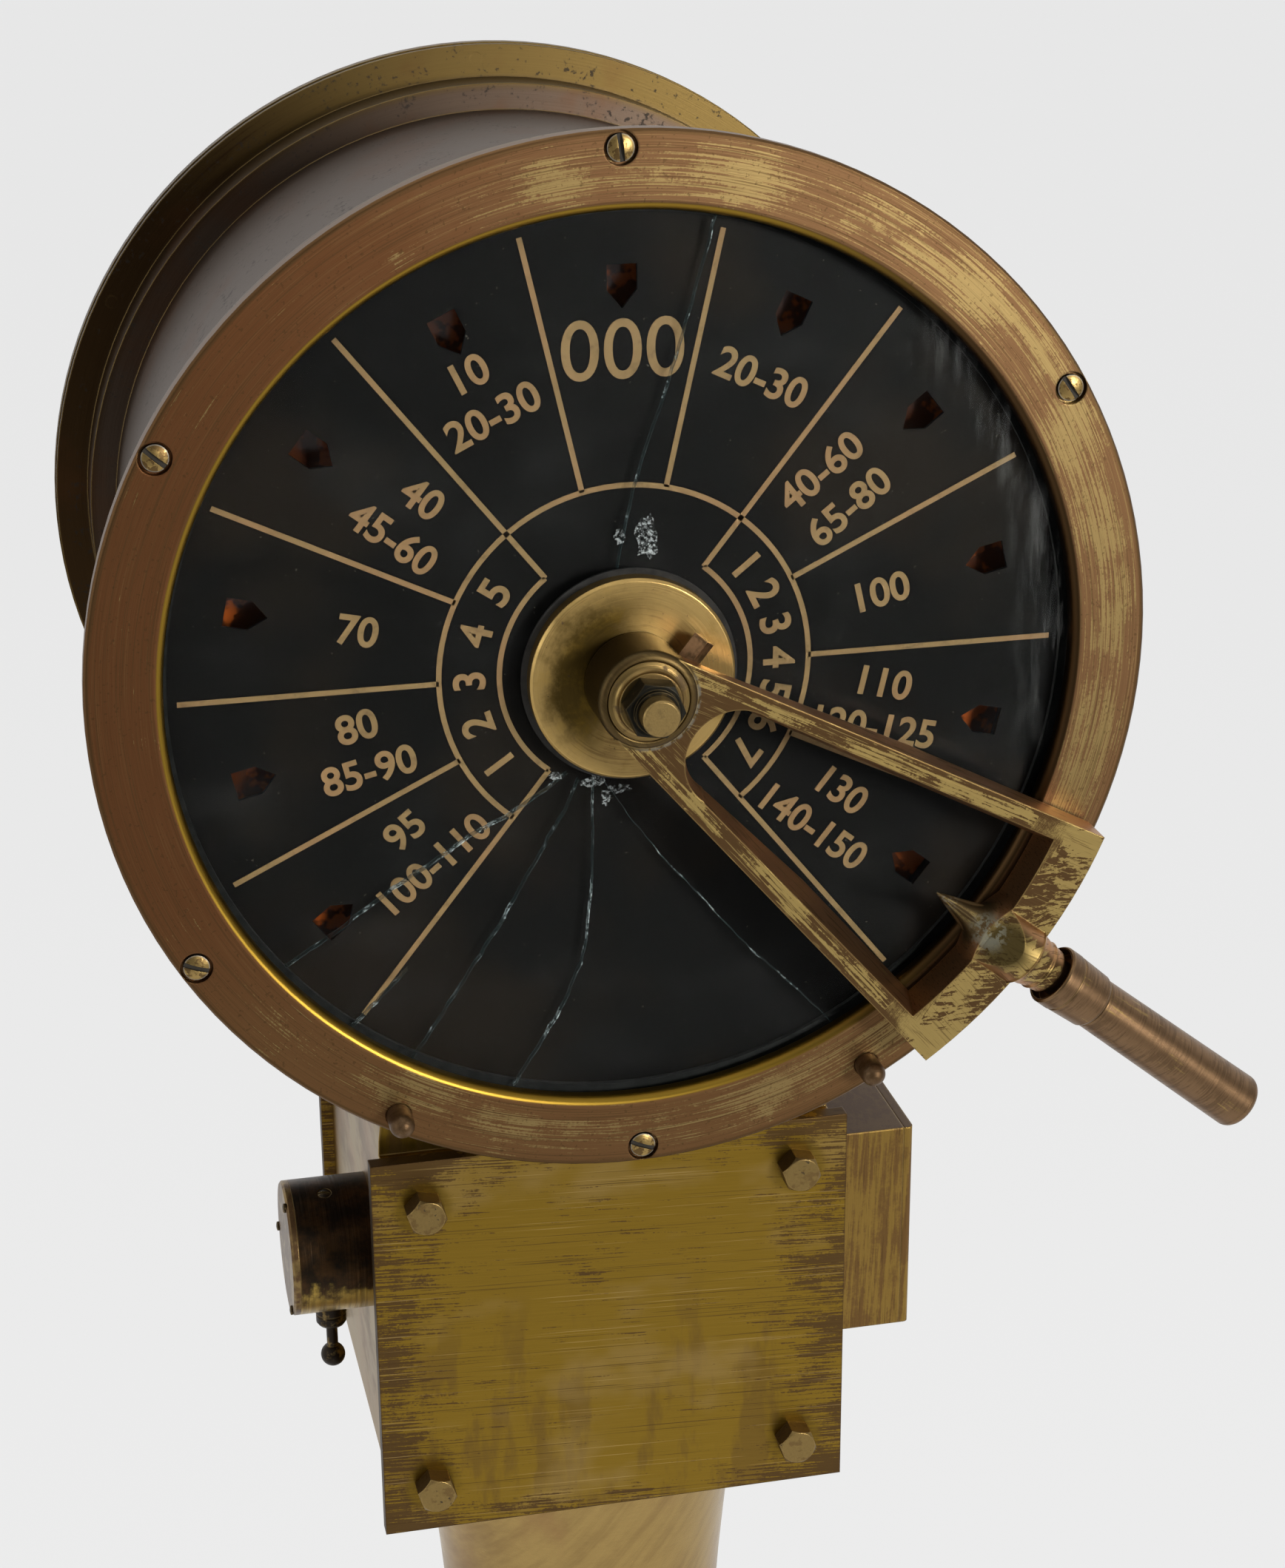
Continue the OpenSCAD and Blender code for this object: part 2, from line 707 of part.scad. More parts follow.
// Coil on a bracket beside the hammer's tail
module striker_coil() {
    back = bridge_y + bridge_t;
    reach = norm(hammer_pivot) + 24;
    color(copper) on_head() rotate([0, -30, 0]) {
        translate([reach, hammer_y + 3, 7]) cylinder(r = 10, h = 26);
        for (z = [5, 33]) translate([reach - 12, hammer_y - 9, z]) cube([24, 24, 3]);
        translate([reach - 12, back, 0]) cube([24, 3, 36]);
        translate([reach - 12, back, 33]) cube([24, hammer_y - back, 3]);
    }
}

// Switch housing: a drum on its side, its axis along X
module switch_round(x, r, length) translate([0, switch_y, switch_z]) cross_rod(r, x, length);

module switch_housing() {
    color(dark_brass) on_head() difference() {
        switch_round(switch_x - switch_l, switch_r, switch_l);
        switch_round(switch_x - switch_l - 1, switch_r - 4, switch_l - 3);
        switch_round(switch_x - 5, 14, 6);
        translate([toggle_x, switch_y, switch_z - switch_r - 1]) cylinder(r = 5, h = 8);
        top_screw_place() translate([0, 0, -6]) cylinder(r = 1.9, h = 8);
        top_screw_place() translate([0, 0, -0.9]) cylinder(r = 2.8, h = 3);
        cap_screw_places() cross_rod(1.3, 0, 12);
    }
}

module housing_cap() {
    color(dark_brass) on_head() difference() {
        translate([switch_x - switch_l - cap_t, switch_y, switch_z]) rotate([0, 90, 0])
            rotate_extrude() polygon([
                [0, 0], [switch_r - 0.8, 0], [switch_r, 0.8], [switch_r, cap_t], [0, cap_t]]);
        cap_screw_places() cross_rod(1.7, -1, cap_t + 2);
    }
}

// Small screws close to the cap's rim
module cap_screw_places() {
    ring_r = switch_r - 2;
    translate([switch_x - switch_l - cap_t, switch_y, switch_z]) for (a = [-8 : 120 : 232])
        translate([0, ring_r * cos(a), ring_r * sin(a)]) children();
}

// Screw on top of the housing, turned a little towards the front
module top_screw_place() {
    forward = 13.5;
    translate([toggle_x - 1, switch_y, switch_z]) rotate([forward, 0, 0])
        translate([0, 0, switch_r]) children();
}

module cap_screws() {
    color(dark_brass) on_head() {
        cap_screw_places() rotate([0, 0, -90]) translate([0, -1.2, 0]) slotted_screw(1.9, 1.2, 1.3, 8, 30);
        top_screw_place() translate([0, 0, 0.2]) rotate([-90, 0, 0]) slotted_screw(2.7, 1.1, 1.85, 3.5, 10);
    }
}

module switch_bush() {
    top = switch_z - switch_r + 3;
    color(dark_brass) on_head() translate([toggle_x, switch_y, top]) rotate([180, 0, 0])
        rotate_extrude($fn = 48) polygon([
            [3.9, 0], [5, 0], [5, 3.2], [6.4, 3.2], [6.4, 7.2], [5.8, 7.8],
            [6.2, 8.6], [6.2, 11.4], [5.4, 12.6], [4.9, 12.6], [3.9, 5]]);
}

module toggle_lever() {
    drop = toggle_pivot_z - ball_z;
    color(dark_brass) on_head() translate([toggle_x, switch_y, toggle_pivot_z]) {
        sphere(r = 3.4, $fn = 32);
        translate([0, 0, -drop]) cylinder(r = 2.3, h = drop);
        translate([0, 0, -drop]) sphere(r = ball_r, $fn = 40);
        cylinder(r = 2, h = 9);
    }
}

// Terminal box
module terminal_box() {
    wall = 4;
    color(dark_brass) on_head() difference() {
        translate([box_x, box_y, box_top - box_h]) cube([box_out - lid_t, box_d, box_h]);
        translate([box_x + wall, box_y + wall, box_top - box_h + wall])
            cube([box_out, box_d - 2 * wall, box_h - 2 * wall]);
        box_centre() cross_rod(16, box_x - 1, wall + 2);
        for (z = gland_places) translate([gland_x, 0, z])
            rod(gland_r + 3, box_y + box_d - wall - 1, wall + 2);
    }
    color(dark_brass) on_head() difference() {
        lid_screw_places() rotate([0, -90, 0]) cylinder(r = 5, h = box_out - lid_t - 1);
        lid_screw_places() translate([1, 0, 0]) rotate([0, -90, 0]) cylinder(r = 1.8, h = 14);
    }
}

module box_centre() translate([0, box_y + box_d / 2, box_top - box_h / 2]) children();

module lid_screw_places() {
    for (y = [box_y + 8, box_y + box_d - 8], z = [box_top - 8, box_top - box_h + 8])
        translate([box_x + box_out - lid_t, y, z]) children();
}

module terminal_box_lid() {
    edge = 2;
    color(dark_brass) on_head() difference() {
        translate([box_x + box_out - lid_t, box_y, box_top - box_h]) linear_extrude(box_h) polygon(concat(
            [[0, box_d], [0, 0]], arc(lid_t - edge, edge, edge, 270, 360, 6),
            arc(lid_t - edge, box_d - edge, edge, 0, 90, 6)));
        lid_screw_places() cross_rod(2.2, -1, lid_t + 2);
        lid_screw_places() cross_rod(lid_screw_r + 0.3, lid_t - lid_screw_t, lid_t);
    }
}

module lid_screws() {
    color(brass) on_head() lid_screw_places() translate([lid_t, 0, 0]) rotate([0, 0, 90])
        slotted_screw(lid_screw_r, lid_screw_t, 1.7, 14, 40);
}

module terminal_board() {
    color(bakelite) on_head() translate([box_x + 4, box_y + 20, box_top - 76]) cube([5, box_d - 40, 24]);
}

module terminals() {
    color(brass) on_head() for (i = [0 : 5]) translate([box_x + 9, box_y + 26 + 9 * i, box_top - 64]) {
        translate([0, -3, -8]) cube([2, 6, 16]);
        for (z = [-5, 5]) translate([0, 0, z]) rotate([0, 90, 0]) cylinder(r = 2.2, h = 4.5, $fn = 24);
    }
}

module cable_glands() {
    color(brass) on_head() for (z = gland_places) translate([gland_x, box_y + box_d, z]) difference() {
        union() {
            along(0) cylinder(r = 13, h = 5, $fn = 6);
            rod(gland_r + 3, -8, 30);
            along(10) cylinder(r = 12.5, h = 9, $fn = 6);
        }
        rod(gland_r, -9, 32);
    }
}

// Block beside the contact drum, on a strap under the rear bridge, with one finger to each track
module brush_block() {
    block_x = contact_r + 8;
    block_h = 40;
    strap_t = 3;
    strap_h = 8;
    strap_low = -contact_drop - 20;
    finger = [10, 5, 2];
    color(bakelite) on_head() {
        translate([block_x, contact_y + 2, -contact_drop - block_h / 2])
            cube([12, bridge_y - contact_y - 2, block_h]);
        translate([-11, bridge_y - strap_t, strap_low]) cube([block_x + 11, strap_t, strap_h]);
    }
    color(copper) on_head() for (i = [0 : tracks - 1])
        translate([contact_r + 0.6, contact_y + 8 + track_pitch * i, -contact_drop - finger[2] / 2])
            cube(finger);
}

// Lever
// Distance from the lever's centre line to an arm's outer edge, front ridge and back edge
function arm_outer(u) = 17.7 + arm_slope * u;
function arm_ridge(u) = 9.9 + arm_slope * u;
function arm_back(u) = 5.5 + arm_slope * u;

// Outline of the wishbone without its opening
module lever_outline() {
    half_angle = asin(bar_end_v / bar_out_r);
    bar = arc(0, 0, bar_out_r, -half_angle, half_angle, 16);
    polygon(concat([[0, -arm_outer(0)]], bar, [[0, arm_outer(0)]]));
}

// Opening between the arms: its side walls lean in towards the back, its hub end is part of a cone
module lever_opening() {
    slope_angle = atan(arm_slope);
    half_back = arm_back(opening_u) * cos(slope_angle);
    half_front = arm_ridge(opening_u) * cos(slope_angle);
    lean = (half_front - half_back) / (bar_back - bar_front);
    deep = 12;
    full = bar_back - bar_front + 2 * deep;
    far_side = -60;
    section = [
        [far_side, bar_back + deep], [half_back - deep * lean, bar_back + deep],
        [half_front + deep * lean, bar_front - deep], [far_side, bar_front - deep]];
    intersection() {
        rod(bar_in_r, -50, 100);
        union() {
            for (s = [-1, 1]) intersection() {
                translate([opening_u, 0, 0]) rotate([0, -s * slope_angle, 0]) rotate([90, 0, 90])
                    linear_extrude(200) polygon([for (p = section) [p[1], s * p[0]]]);
                translate([opening_u, -50, s > 0 ? -tiny : -200]) cube([200, 100, 200 + tiny]);
            }
            translate([opening_u, 0, 0]) along(bar_front - deep)
                cylinder(r1 = half_front + deep * lean, r2 = half_back - deep * lean, h = full);
        }
    }
}

// Side view of the frame: thin beside the boss, full depth at the cross bar
module lever_side() {
    translate([0, 0, -70]) linear_extrude(140) polygon([
        [0, arm_front], [bar_out_r + 5, bar_edge], [bar_out_r + 5, bar_back], [100, bar_back],
        [boss_r, arm_front + 7], [0, arm_front + 7]]);
}

// Boss with a rounded shoulder; the thin rim round its front holds the washer
module lever_boss() {
    shoulder = boss_r - boss_rim_r;
    seat_edge = 0.4;
    along(boss_front) rotate_extrude() polygon(concat(
        [[0, boss_seat], [boss_rim_r - seat_edge, boss_seat], [boss_rim_r - seat_edge, 0.2]],
        arc(boss_rim_r, shoulder, shoulder, 270, 360, 6),
        [[boss_r, boss_back - boss_front], [0, boss_back - boss_front]]));
}

module lever_frame() {
    color(brass) at_lever() difference() {
        union() {
            lever_boss();
            difference() {
                intersection() {
                    sheet(-40, 40) lever_outline();
                    lever_side();
                }
                lever_opening();
            }
            lever_spike();
            lever_neck();
        }
        rod(shaft_r, boss_front - 20, 60);
        cotter_bar();
    }
}

// Turns an outline round the handle's axis; it is drawn as radius and place along the lever
module at_handle(start = 0) {
    translate([start, handle_y, 0]) rotate([0, 90, 0]) rotate_extrude($fn = 64) children();
}

// Pointer spike: a four-edged thorn that flares into the cross bar and stays within its depth
module lever_spike() {
    length = bar_in_r + 1 - spike_tip;
    tip_r = 0.3;
    steps = 14;
    intersection() {
        translate([0, spike_y - handle_y, 0]) union() {
            at_handle(spike_tip) polygon(concat(
                [[0, 0]],
                [for (i = [0 : steps]) let (s = i / steps) [tip_r + 6.2 * s + 14 * pow(s, 8), length * s]],
                [[0, length]]));
            translate([spike_tip, handle_y, 0]) rotate([0, 90, 0])
                cylinder(r1 = tip_r, r2 = 6.8, h = 0.8 * length, $fn = 4);
        }
        translate([0, bar_front + 0.2, -30]) cube([bar_in_r + 2, bar_back - bar_front - 0.2, 60]);
    }
}

// Handle neck with the slanted facet that ends in a ridge behind the spike
module lever_neck() {
    start = bar_in_r - 0.6;
    low = handle_y + neck_r + 1;
    bead_u = bar_out_r + 6.6;
    hollow_r = 7.6;
    half_w = 20;
    front = -50;
    waist = arc(neck_r + 5.6, bar_out_r + 3.5, hollow_r, 228, 186, 5);
    bead = [[9.4, bead_u - 1], [9.9, bead_u], [9.4, bead_u + 1]];
    difference() {
        at_handle() polygon(concat(
            [[0, start], [neck_r, start], [neck_r, bar_out_r - 2]], waist, bead,
            [[8.8, neck_end], [0, neck_end]]));
        translate([0, 0, -half_w]) linear_extrude(2 * half_w) polygon([
            [start - 1, bar_edge], [facet_end, handle_y - neck_r - 0.3], [facet_end, front],
            [start - 1, front]]);
        translate([0, 0, -half_w]) linear_extrude(2 * half_w) polygon([
            [start - 1, low], [start - 1, bar_back], [bar_out_r, bar_back], [bar_out_r, low]]);
    }
}

// The square cotter lies on edge, across the boss
module cotter_bar() {
    translate([cotter_u, cotter_y, cotter_low]) rotate([0, 0, 45])
        translate([-cotter_w / 2, -cotter_w / 2, 0]) cube([cotter_w, cotter_w, cotter_top - cotter_low]);
}

module lever_cotter() {
    color(dark_brass) at_lever() difference() {
        cotter_bar();
        rod(shaft_r, -20, 30);
    }
}

module main_shaft() {
    stud_front = -44;
    stud_l = shaft_front - stud_front + 1;
    color(steel) on_head() {
        rod(shaft_r, shaft_front, bridge_y + bridge_t + 6 - shaft_front);
        along(stud_front) rotate_extrude()
            polygon([[0, 0], [stud_r - 0.6, 0], [stud_r, 0.6], [stud_r, stud_l], [0, stud_l]]);
    }
}

// Washer whose edge is hollowed down to a thin foot that sits inside the boss rim
module lever_washer() {
    top_r = 11.2;
    lip = 0.5;
    hollow = 2.6;
    foot = washer_t + boss_seat;
    color(dark_brass) at_lever() along(boss_front - washer_t) rotate_extrude() polygon(concat(
        [[shaft_r, 0], [top_r - 0.2, 0], [top_r, 0.2]],
        arc(top_r + hollow, lip, hollow, 180, 90, 5),
        [[washer_r, lip + hollow], [washer_r, foot], [shaft_r, foot]]));
}

module lever_nut() {
    across = 18.6;
    head_h = 8;
    face = boss_front - washer_t - head_h;
    color(dark_brass) at_lever() difference() {
        union() {
            intersection() {
                rotate([0, 30, 0]) along(face) cylinder(r = across / sqrt(3), h = head_h, $fn = 6);
                along(face) cylinder(r1 = across / 2 - 0.1, r2 = across / 2 + 2 * head_h, h = head_h);
            }
            rod(7.8, face - 2, 3);
        }
        rod(stud_r, face - 10, head_h + 20);
        rod(shaft_r, shaft_front, 10);
    }
}

module grip_collar() {
    lift = neck_end + 2;
    step = lift + 6.6;
    mouth = lift + 4;
    color(copper) at_lever() at_handle() polygon([
        [0, neck_end - tiny], [7, neck_end - tiny], [7, mouth], [10.2, mouth], [10.6, lift],
        [11.2, lift], [11.8, lift + 0.8],
        [11.8, step - 0.6], [11.3, step], [11.6, step + 0.8], [10.9, collar_end - 1],
        [10.4, collar_end], [0, collar_end]]);
}

module handle_grip() {
    round_r = 3;
    color(copper) at_lever() at_handle() polygon(concat(
        [[0, collar_end], [9.6, collar_end], [10.1, collar_end + 0.8]],
        arc(grip_r - round_r, grip_end - round_r, round_r, 0, 90, 6), [[0, grip_end]]));
}

module drive_gear() {
    color(brass) on_head() difference() {
        union() {
            sheet(gear_y, gear_t) gear_outline(gear_teeth);
            rod(16, gear_y, gear_t + 4);
        }
        rod(shaft_r, gear_y - 1, gear_t + 8);
        around(5) translate([24, 0, 0]) rod(5.5, gear_y - 1, gear_t + 2);
    }
}

module detent_wheel() {
    notch_r = roller_r + 0.6;
    notch_in = 3;
    color(steel) on_head() difference() {
        rod(detent_r, detent_y, detent_t);
        rod(shaft_r, detent_y - 1, detent_t + 2);
        around(sectors, 90) translate([detent_r + notch_r - notch_in, 0, 0])
            rod(notch_r, detent_y - 1, detent_t + 2);
    }
}

module contact_pinion() {
    color(brass) on_head() translate([0, 0, -contact_drop]) difference() {
        sheet(gear_y, gear_t) rotate(180 / gear_teeth) gear_outline(gear_teeth);
        rod(contact_shaft_r, gear_y - 1, gear_t + 2);
    }
}

module contact_drum() {
    color(bakelite) on_head() translate([0, 0, -contact_drop]) difference() {
        rod(contact_r, contact_y, contact_l);
        rod(contact_shaft_r, contact_y - 1, contact_l + 2);
        for (i = [0 : tracks]) ring(contact_r + 1, contact_r - 1.5, contact_y + 3 + track_pitch * i, 3);
    }
}

module contact_shaft() {
    color(steel) on_head() translate([0, 0, -contact_drop])
        rod(contact_shaft_r, spider_y, bridge_y + bridge_t - spider_y);
}

module detent_arm() {
    run = [0, roller_at] - arm_pivot;
    reach = norm(run);
    tilt = atan2(run[1], run[0]);
    color(steel) on_head() translate([arm_pivot[0], 0, arm_pivot[1]]) rotate([0, -tilt, 0]) {
        ring(7, 3 + clear, detent_y, detent_t);
        for (y = [detent_y - 2.4, detent_y + detent_t + 0.4]) difference() {
            translate([0, y, -4]) cube([reach + 4, 2, 8]);
            rod(3 + clear, y - 1, 4);
        }
        translate([4.5, detent_y - 2.4, -4]) cube([20, detent_t + 4.8, 8]);
        translate([reach, 0, 0]) rod(2, detent_y - 2.4, detent_t + 4.8);
    }
}

module detent_roller() {
    color(bronze) on_head() translate([0, 0, roller_at])
        ring(roller_r, 2 + clear, detent_y + 0.2, detent_t - 0.4);
}

module detent_spring() {
    color(steel) on_head() translate([spring_x, detent_y + detent_t / 2, spring_foot])
        coil(4.6, 0.8, 6, spring_top - spring_foot);
}

base_flange();
column();
column_bolts();
casing();
front_cover_plate();
front_cover_bolts();
rear_cover_plate();
rear_cover_bolts();
drum_shell();
saddle_bolts();
front_bezel();
bezel_screws();
stop_pins();
front_glass();
glass_seal();
dial_plate();
window_filter();
lamp_housing();
lamp_sockets();
lamps();
hub_disc();
hub_seal();
front_bush();
front_spider();
frame_pillars();
rear_bridge();
rear_bush();
rear_bezel();
rear_bezel_screws();
rear_cover();
gong();
striker_coil();
switch_housing();
housing_cap();
cap_screws();
switch_bush();
terminal_box();
terminal_box_lid();
lid_screws();
terminal_board();
terminals();
cable_glands();
brush_block();
lever_frame();
main_shaft();
lever_cotter();
lever_washer();
lever_nut();
grip_collar();
handle_grip();
drive_gear();
detent_wheel();
contact_drum();
contact_pinion();
contact_shaft();
detent_arm();
detent_roller();
detent_spring();
bell_hammer();
toggle_lever();
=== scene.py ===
"""Dresses a pedestal engine order telegraph: aged brass, a dial with windows, cracked glass, a studio."""

import json
from math import atan2, cos, pi, radians, sin
from random import Random

import bmesh
import bpy
from mathutils import Matrix, Vector

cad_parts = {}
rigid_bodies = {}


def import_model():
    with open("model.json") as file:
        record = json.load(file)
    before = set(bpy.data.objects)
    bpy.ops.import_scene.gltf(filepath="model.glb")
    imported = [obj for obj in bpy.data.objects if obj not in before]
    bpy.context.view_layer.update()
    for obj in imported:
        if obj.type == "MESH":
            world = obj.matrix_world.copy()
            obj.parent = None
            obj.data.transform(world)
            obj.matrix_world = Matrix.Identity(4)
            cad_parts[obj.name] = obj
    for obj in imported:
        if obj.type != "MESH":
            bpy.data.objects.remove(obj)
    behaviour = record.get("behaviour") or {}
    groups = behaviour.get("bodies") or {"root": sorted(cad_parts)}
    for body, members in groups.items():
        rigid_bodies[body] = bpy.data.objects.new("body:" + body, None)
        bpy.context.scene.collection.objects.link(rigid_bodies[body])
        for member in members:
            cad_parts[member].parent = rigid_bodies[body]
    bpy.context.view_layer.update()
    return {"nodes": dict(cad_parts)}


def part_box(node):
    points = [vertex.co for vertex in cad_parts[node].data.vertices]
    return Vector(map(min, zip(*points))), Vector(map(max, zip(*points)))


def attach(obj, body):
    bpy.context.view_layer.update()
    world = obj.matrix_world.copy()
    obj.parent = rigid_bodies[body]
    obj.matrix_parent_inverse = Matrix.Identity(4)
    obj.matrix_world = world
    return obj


bl_info = {
    "name": "Engine order telegraph",
    "version": (1, 0, 0),
    "blender": (4, 5, 0),
    "location": "3D View > Sidebar > Telegraph",
    "description": "Adds the dial's lines and numbers and the cracked glass, gives every part its finish, "
                   "and lights it",
    "category": "Add Mesh",
}

for leftover in list(bpy.data.objects):
    bpy.data.objects.remove(leftover)

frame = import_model()


def centre_of(node):
    """Returns the middle of a CAD node's box."""
    low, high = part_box(node)
    return (low + high) / 2


def size_of(node):
    """Returns the three sides of a CAD node's box."""
    low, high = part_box(node)
    return high - low


# The head's axis meets the bezel's front face at HEAD. X is right and Y is to the rear.
HEAD = Vector((centre_of("front_bezel").x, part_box("front_bezel")[0].y, centre_of("front_bezel").z))
BEZEL_R = size_of("front_bezel").x / 2
WINDOW_SHARE = 0.858
WINDOW_R = WINDOW_SHARE * BEZEL_R
DIAL_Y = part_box("dial_plate")[0].y
GLASS_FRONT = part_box("front_glass")[0].y
GLASS_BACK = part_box("front_glass")[1].y
GRIP = centre_of("handle_grip") - HEAD
LEVER_TURN = atan2(-GRIP.z, GRIP.x)
SWITCH = centre_of("switch_housing")
UP = pi / 2


# Properties that a user would change

def length_setting(name, description, default, low, high):
    """Returns a length for a group of settings."""
    return bpy.props.FloatProperty(
        name=name, description=description, default=default, min=low, max=high, unit="LENGTH")


def colour_setting(name, description, default):
    """Returns a linear colour for a group of settings."""
    return bpy.props.FloatVectorProperty(
        name=name, description=description, default=default, min=0, max=1, subtype="COLOR")


def angle_setting(name, description, degrees, low, high):
    """Returns an angle for a group of settings."""
    return bpy.props.FloatProperty(
        name=name, description=description, default=radians(degrees), min=low, max=high, subtype="ANGLE")


def power_setting(name, description, default):
    """Returns a lamp's power for a group of settings."""
    return bpy.props.FloatProperty(
        name=name, description=description, default=default, min=0, max=500, unit="POWER")


class TelegraphSizes(bpy.types.PropertyGroup):
    """Sizes of the pieces that are added to the CAD parts."""

    line_width: length_setting(
        "Line width", "Width of the painted lines of the dial", 0.0019, 0.001, 0.004)
    paint: length_setting(
        "Paint thickness", "Height of the painted lines and numbers over the dial", 0.00025, 0.0001, 0.001)
    ring_radius: length_setting(
        "Ring radius", "Radius of the painted ring inside the orders", 0.067, 0.06, 0.075)
    hub_ring_radius: length_setting(
        "Hub ring radius", "Radius of the painted arcs that close the side bands at the hub",
        0.0455, 0.042, 0.05)
    line_end: length_setting(
        "Line end", "Radius at which the painted lines end at the bezel", 0.158, 0.15, 0.163)
    number_height: length_setting(
        "Number height", "Height of the numbers of the orders", 0.0112, 0.008, 0.014)
    top_height: length_setting(
        "Top number height", "Height of the large number at the top of the dial", 0.021, 0.015, 0.025)
    band_height: length_setting(
        "Band number height", "Height of the numbers in the side bands", 0.0118, 0.009, 0.014)


class TelegraphColours(bpy.types.PropertyGroup):
    """Colours of the finishes, as linear values."""

    gold: colour_setting("Gold", "Brass that use has rubbed bright", (0.46, 0.31, 0.11))
    red: colour_setting("Red brown", "Smooth reddish patina of the bezel's left half", (0.16, 0.068, 0.027))
    brown: colour_setting("Brown", "Brown patina between the scratches", (0.14, 0.078, 0.032))
    pink: colour_setting(
        "Pinkish stain", "Reddish stain where the brass has lost its zinc", (0.28, 0.15, 0.068))
    olive: colour_setting("Olive", "Satin brass of the casing and the cover plates", (0.27, 0.165, 0.022))
    copper: colour_setting("Copper brown", "Turned grip and its collar", (0.21, 0.126, 0.066))
    dark: colour_setting(
        "Dark patina", "Nearly black patina of the switch and its lever", (0.022, 0.015, 0.009))
    dial: colour_setting("Dial", "Black enamel of the dial", (0.0048, 0.0046, 0.0044))
    paint: colour_setting("Dial paint", "Tan paint of the lines and numbers", (0.215, 0.138, 0.06))
    filter: colour_setting("Filter", "Orange filter behind the windows", (0.34, 0.07, 0.008))


class TelegraphStage(bpy.types.PropertyGroup):
    """Camera, lights and floor."""

    azimuth: angle_setting(
        "View azimuth", "Turn of the camera's view from straight ahead, to the right", 12.111, -pi, pi)
    elevation: angle_setting(
        "View elevation", "Height of the camera over the horizontal", 20.95, 0, pi / 2)
    roll: angle_setting(
        "View roll", "Turn of the camera about its own line of sight", -0.714, -1, 1)
    camera_place: bpy.props.FloatVectorProperty(
        name="Camera place", description="Place of the camera",
        default=(-0.2142, -1.0654, 1.3077), subtype="TRANSLATION", unit="LENGTH")
    lens: bpy.props.FloatProperty(
        name="Lens", description="Focal length on a 36 mm sensor",
        default=66.996, min=20, max=200)
    shift: bpy.props.FloatVectorProperty(
        name="Shift", description="Shift of the lens, across and up",
        size=2, default=(0.0253, 0.00715))
    background: bpy.props.FloatProperty(
        name="Background",
        description="Brightness of the floor and the room as the camera and the metal see them",
        default=0.9, min=0, max=1)
    key_power: power_setting("Key light", "Power of the large light to the right of the camera", 30.0)
    fill_power: power_setting("Fill light", "Power of the weaker light on the left", 10.0)
    top_power: power_setting("Top light", "Power of the light overhead", 12.0)
    room_light: bpy.props.FloatProperty(
        name="Room light", description="Strength of the even light of the room",
        default=0.42, min=0, max=2)


SETTINGS = {
    "telegraph_sizes": TelegraphSizes,
    "telegraph_colours": TelegraphColours,
    "telegraph_stage": TelegraphStage,
}


# Shader writing

# Noise keeps near its middle, so its threshold moves by this much as a mask's share goes from none to all
NOISE_SPREAD = 0.32
BEVEL_SAMPLES = 6


class Flow:
    """A shader value, so that a finish is written as sums and products."""

    def __init__(self, finish, socket):
        self.finish = finish
        self.socket = socket

    def maths(self, operation, *values):
        """Adds a Math node of an operation on these values."""
        return self.finish.add("ShaderNodeMath", values, operation=operation)

    def __add__(self, other):
        return self.maths("ADD", self, other)

    __radd__ = __add__

    def __sub__(self, other):
        return self.maths("SUBTRACT", self, other)

    def __rsub__(self, other):
        return self.maths("SUBTRACT", other, self)

    def __mul__(self, other):
        return self.maths("MULTIPLY", self, other)

    __rmul__ = __mul__

    def __truediv__(self, other):
        return self.maths("DIVIDE", self, other)

    def __rtruediv__(self, other):
        return self.maths("DIVIDE", other, self)

    def __pow__(self, other):
        return self.maths("POWER", self, other)

    def __abs__(self):
        return self.maths("ABSOLUTE", self)

    def larger(self, other):
        """Returns the larger of this value and another."""
        return self.maths("MAXIMUM", self, other)

    def over(self, low, high):
        """Returns 0 below low and 1 above high, with a soft step between; low may be the larger."""
        sockets = {"Value": self, "From Min": low, "From Max": high, "To Min": 0.0, "To Max": 1.0}
        return self.finish.add("ShaderNodeMapRange", sockets, interpolation_type="SMOOTHSTEP")


class Wiring:
    """The nodes of a material or of the room."""

    def __init__(self, tree):
        self.tree = tree

    def add(self, kind, sockets=(), out=0, **settings):
        """Adds a node of a kind, sets it, feeds its sockets by order or by name, and returns one output."""
        node = self.tree.nodes.new(kind)
        for name, value in settings.items():
            setattr(node, name, value)
        pairs = sockets.items() if isinstance(sockets, dict) else enumerate(sockets)
        for key, value in pairs:
            self.feed(node.inputs[key], value)
        return Flow(self, node.outputs[out])

    def feed(self, socket, value):
        """Links a shader value to a socket, or sets a plain number or colour on it."""
        if isinstance(value, Flow):
            self.tree.links.new(value.socket, socket)
        elif socket.type == "RGBA" and len(value) == 3:
            socket.default_value = (*value, 1)
        else:
            socket.default_value = value

    def parts(self, vector):
        """Returns the three numbers of a vector."""
        return [self.add("ShaderNodeSeparateXYZ", (vector,), out=axis) for axis in range(3)]

    def dim(self, colour, factor):
        """Makes a colour darker or lighter by a factor."""
        return self.add("ShaderNodeVectorMath", {0: colour, "Scale": factor}, operation="SCALE")

    def seen_directly(self):
        """Returns 1 for rays of the camera, of reflections and of clear glass."""
        kinds = ("Is Camera Ray", "Is Glossy Ray", "Is Transmission Ray")
        camera, glossy, clear = [self.add("ShaderNodeLightPath", out=kind) for kind in kinds]
        return camera.larger(glossy.larger(clear))


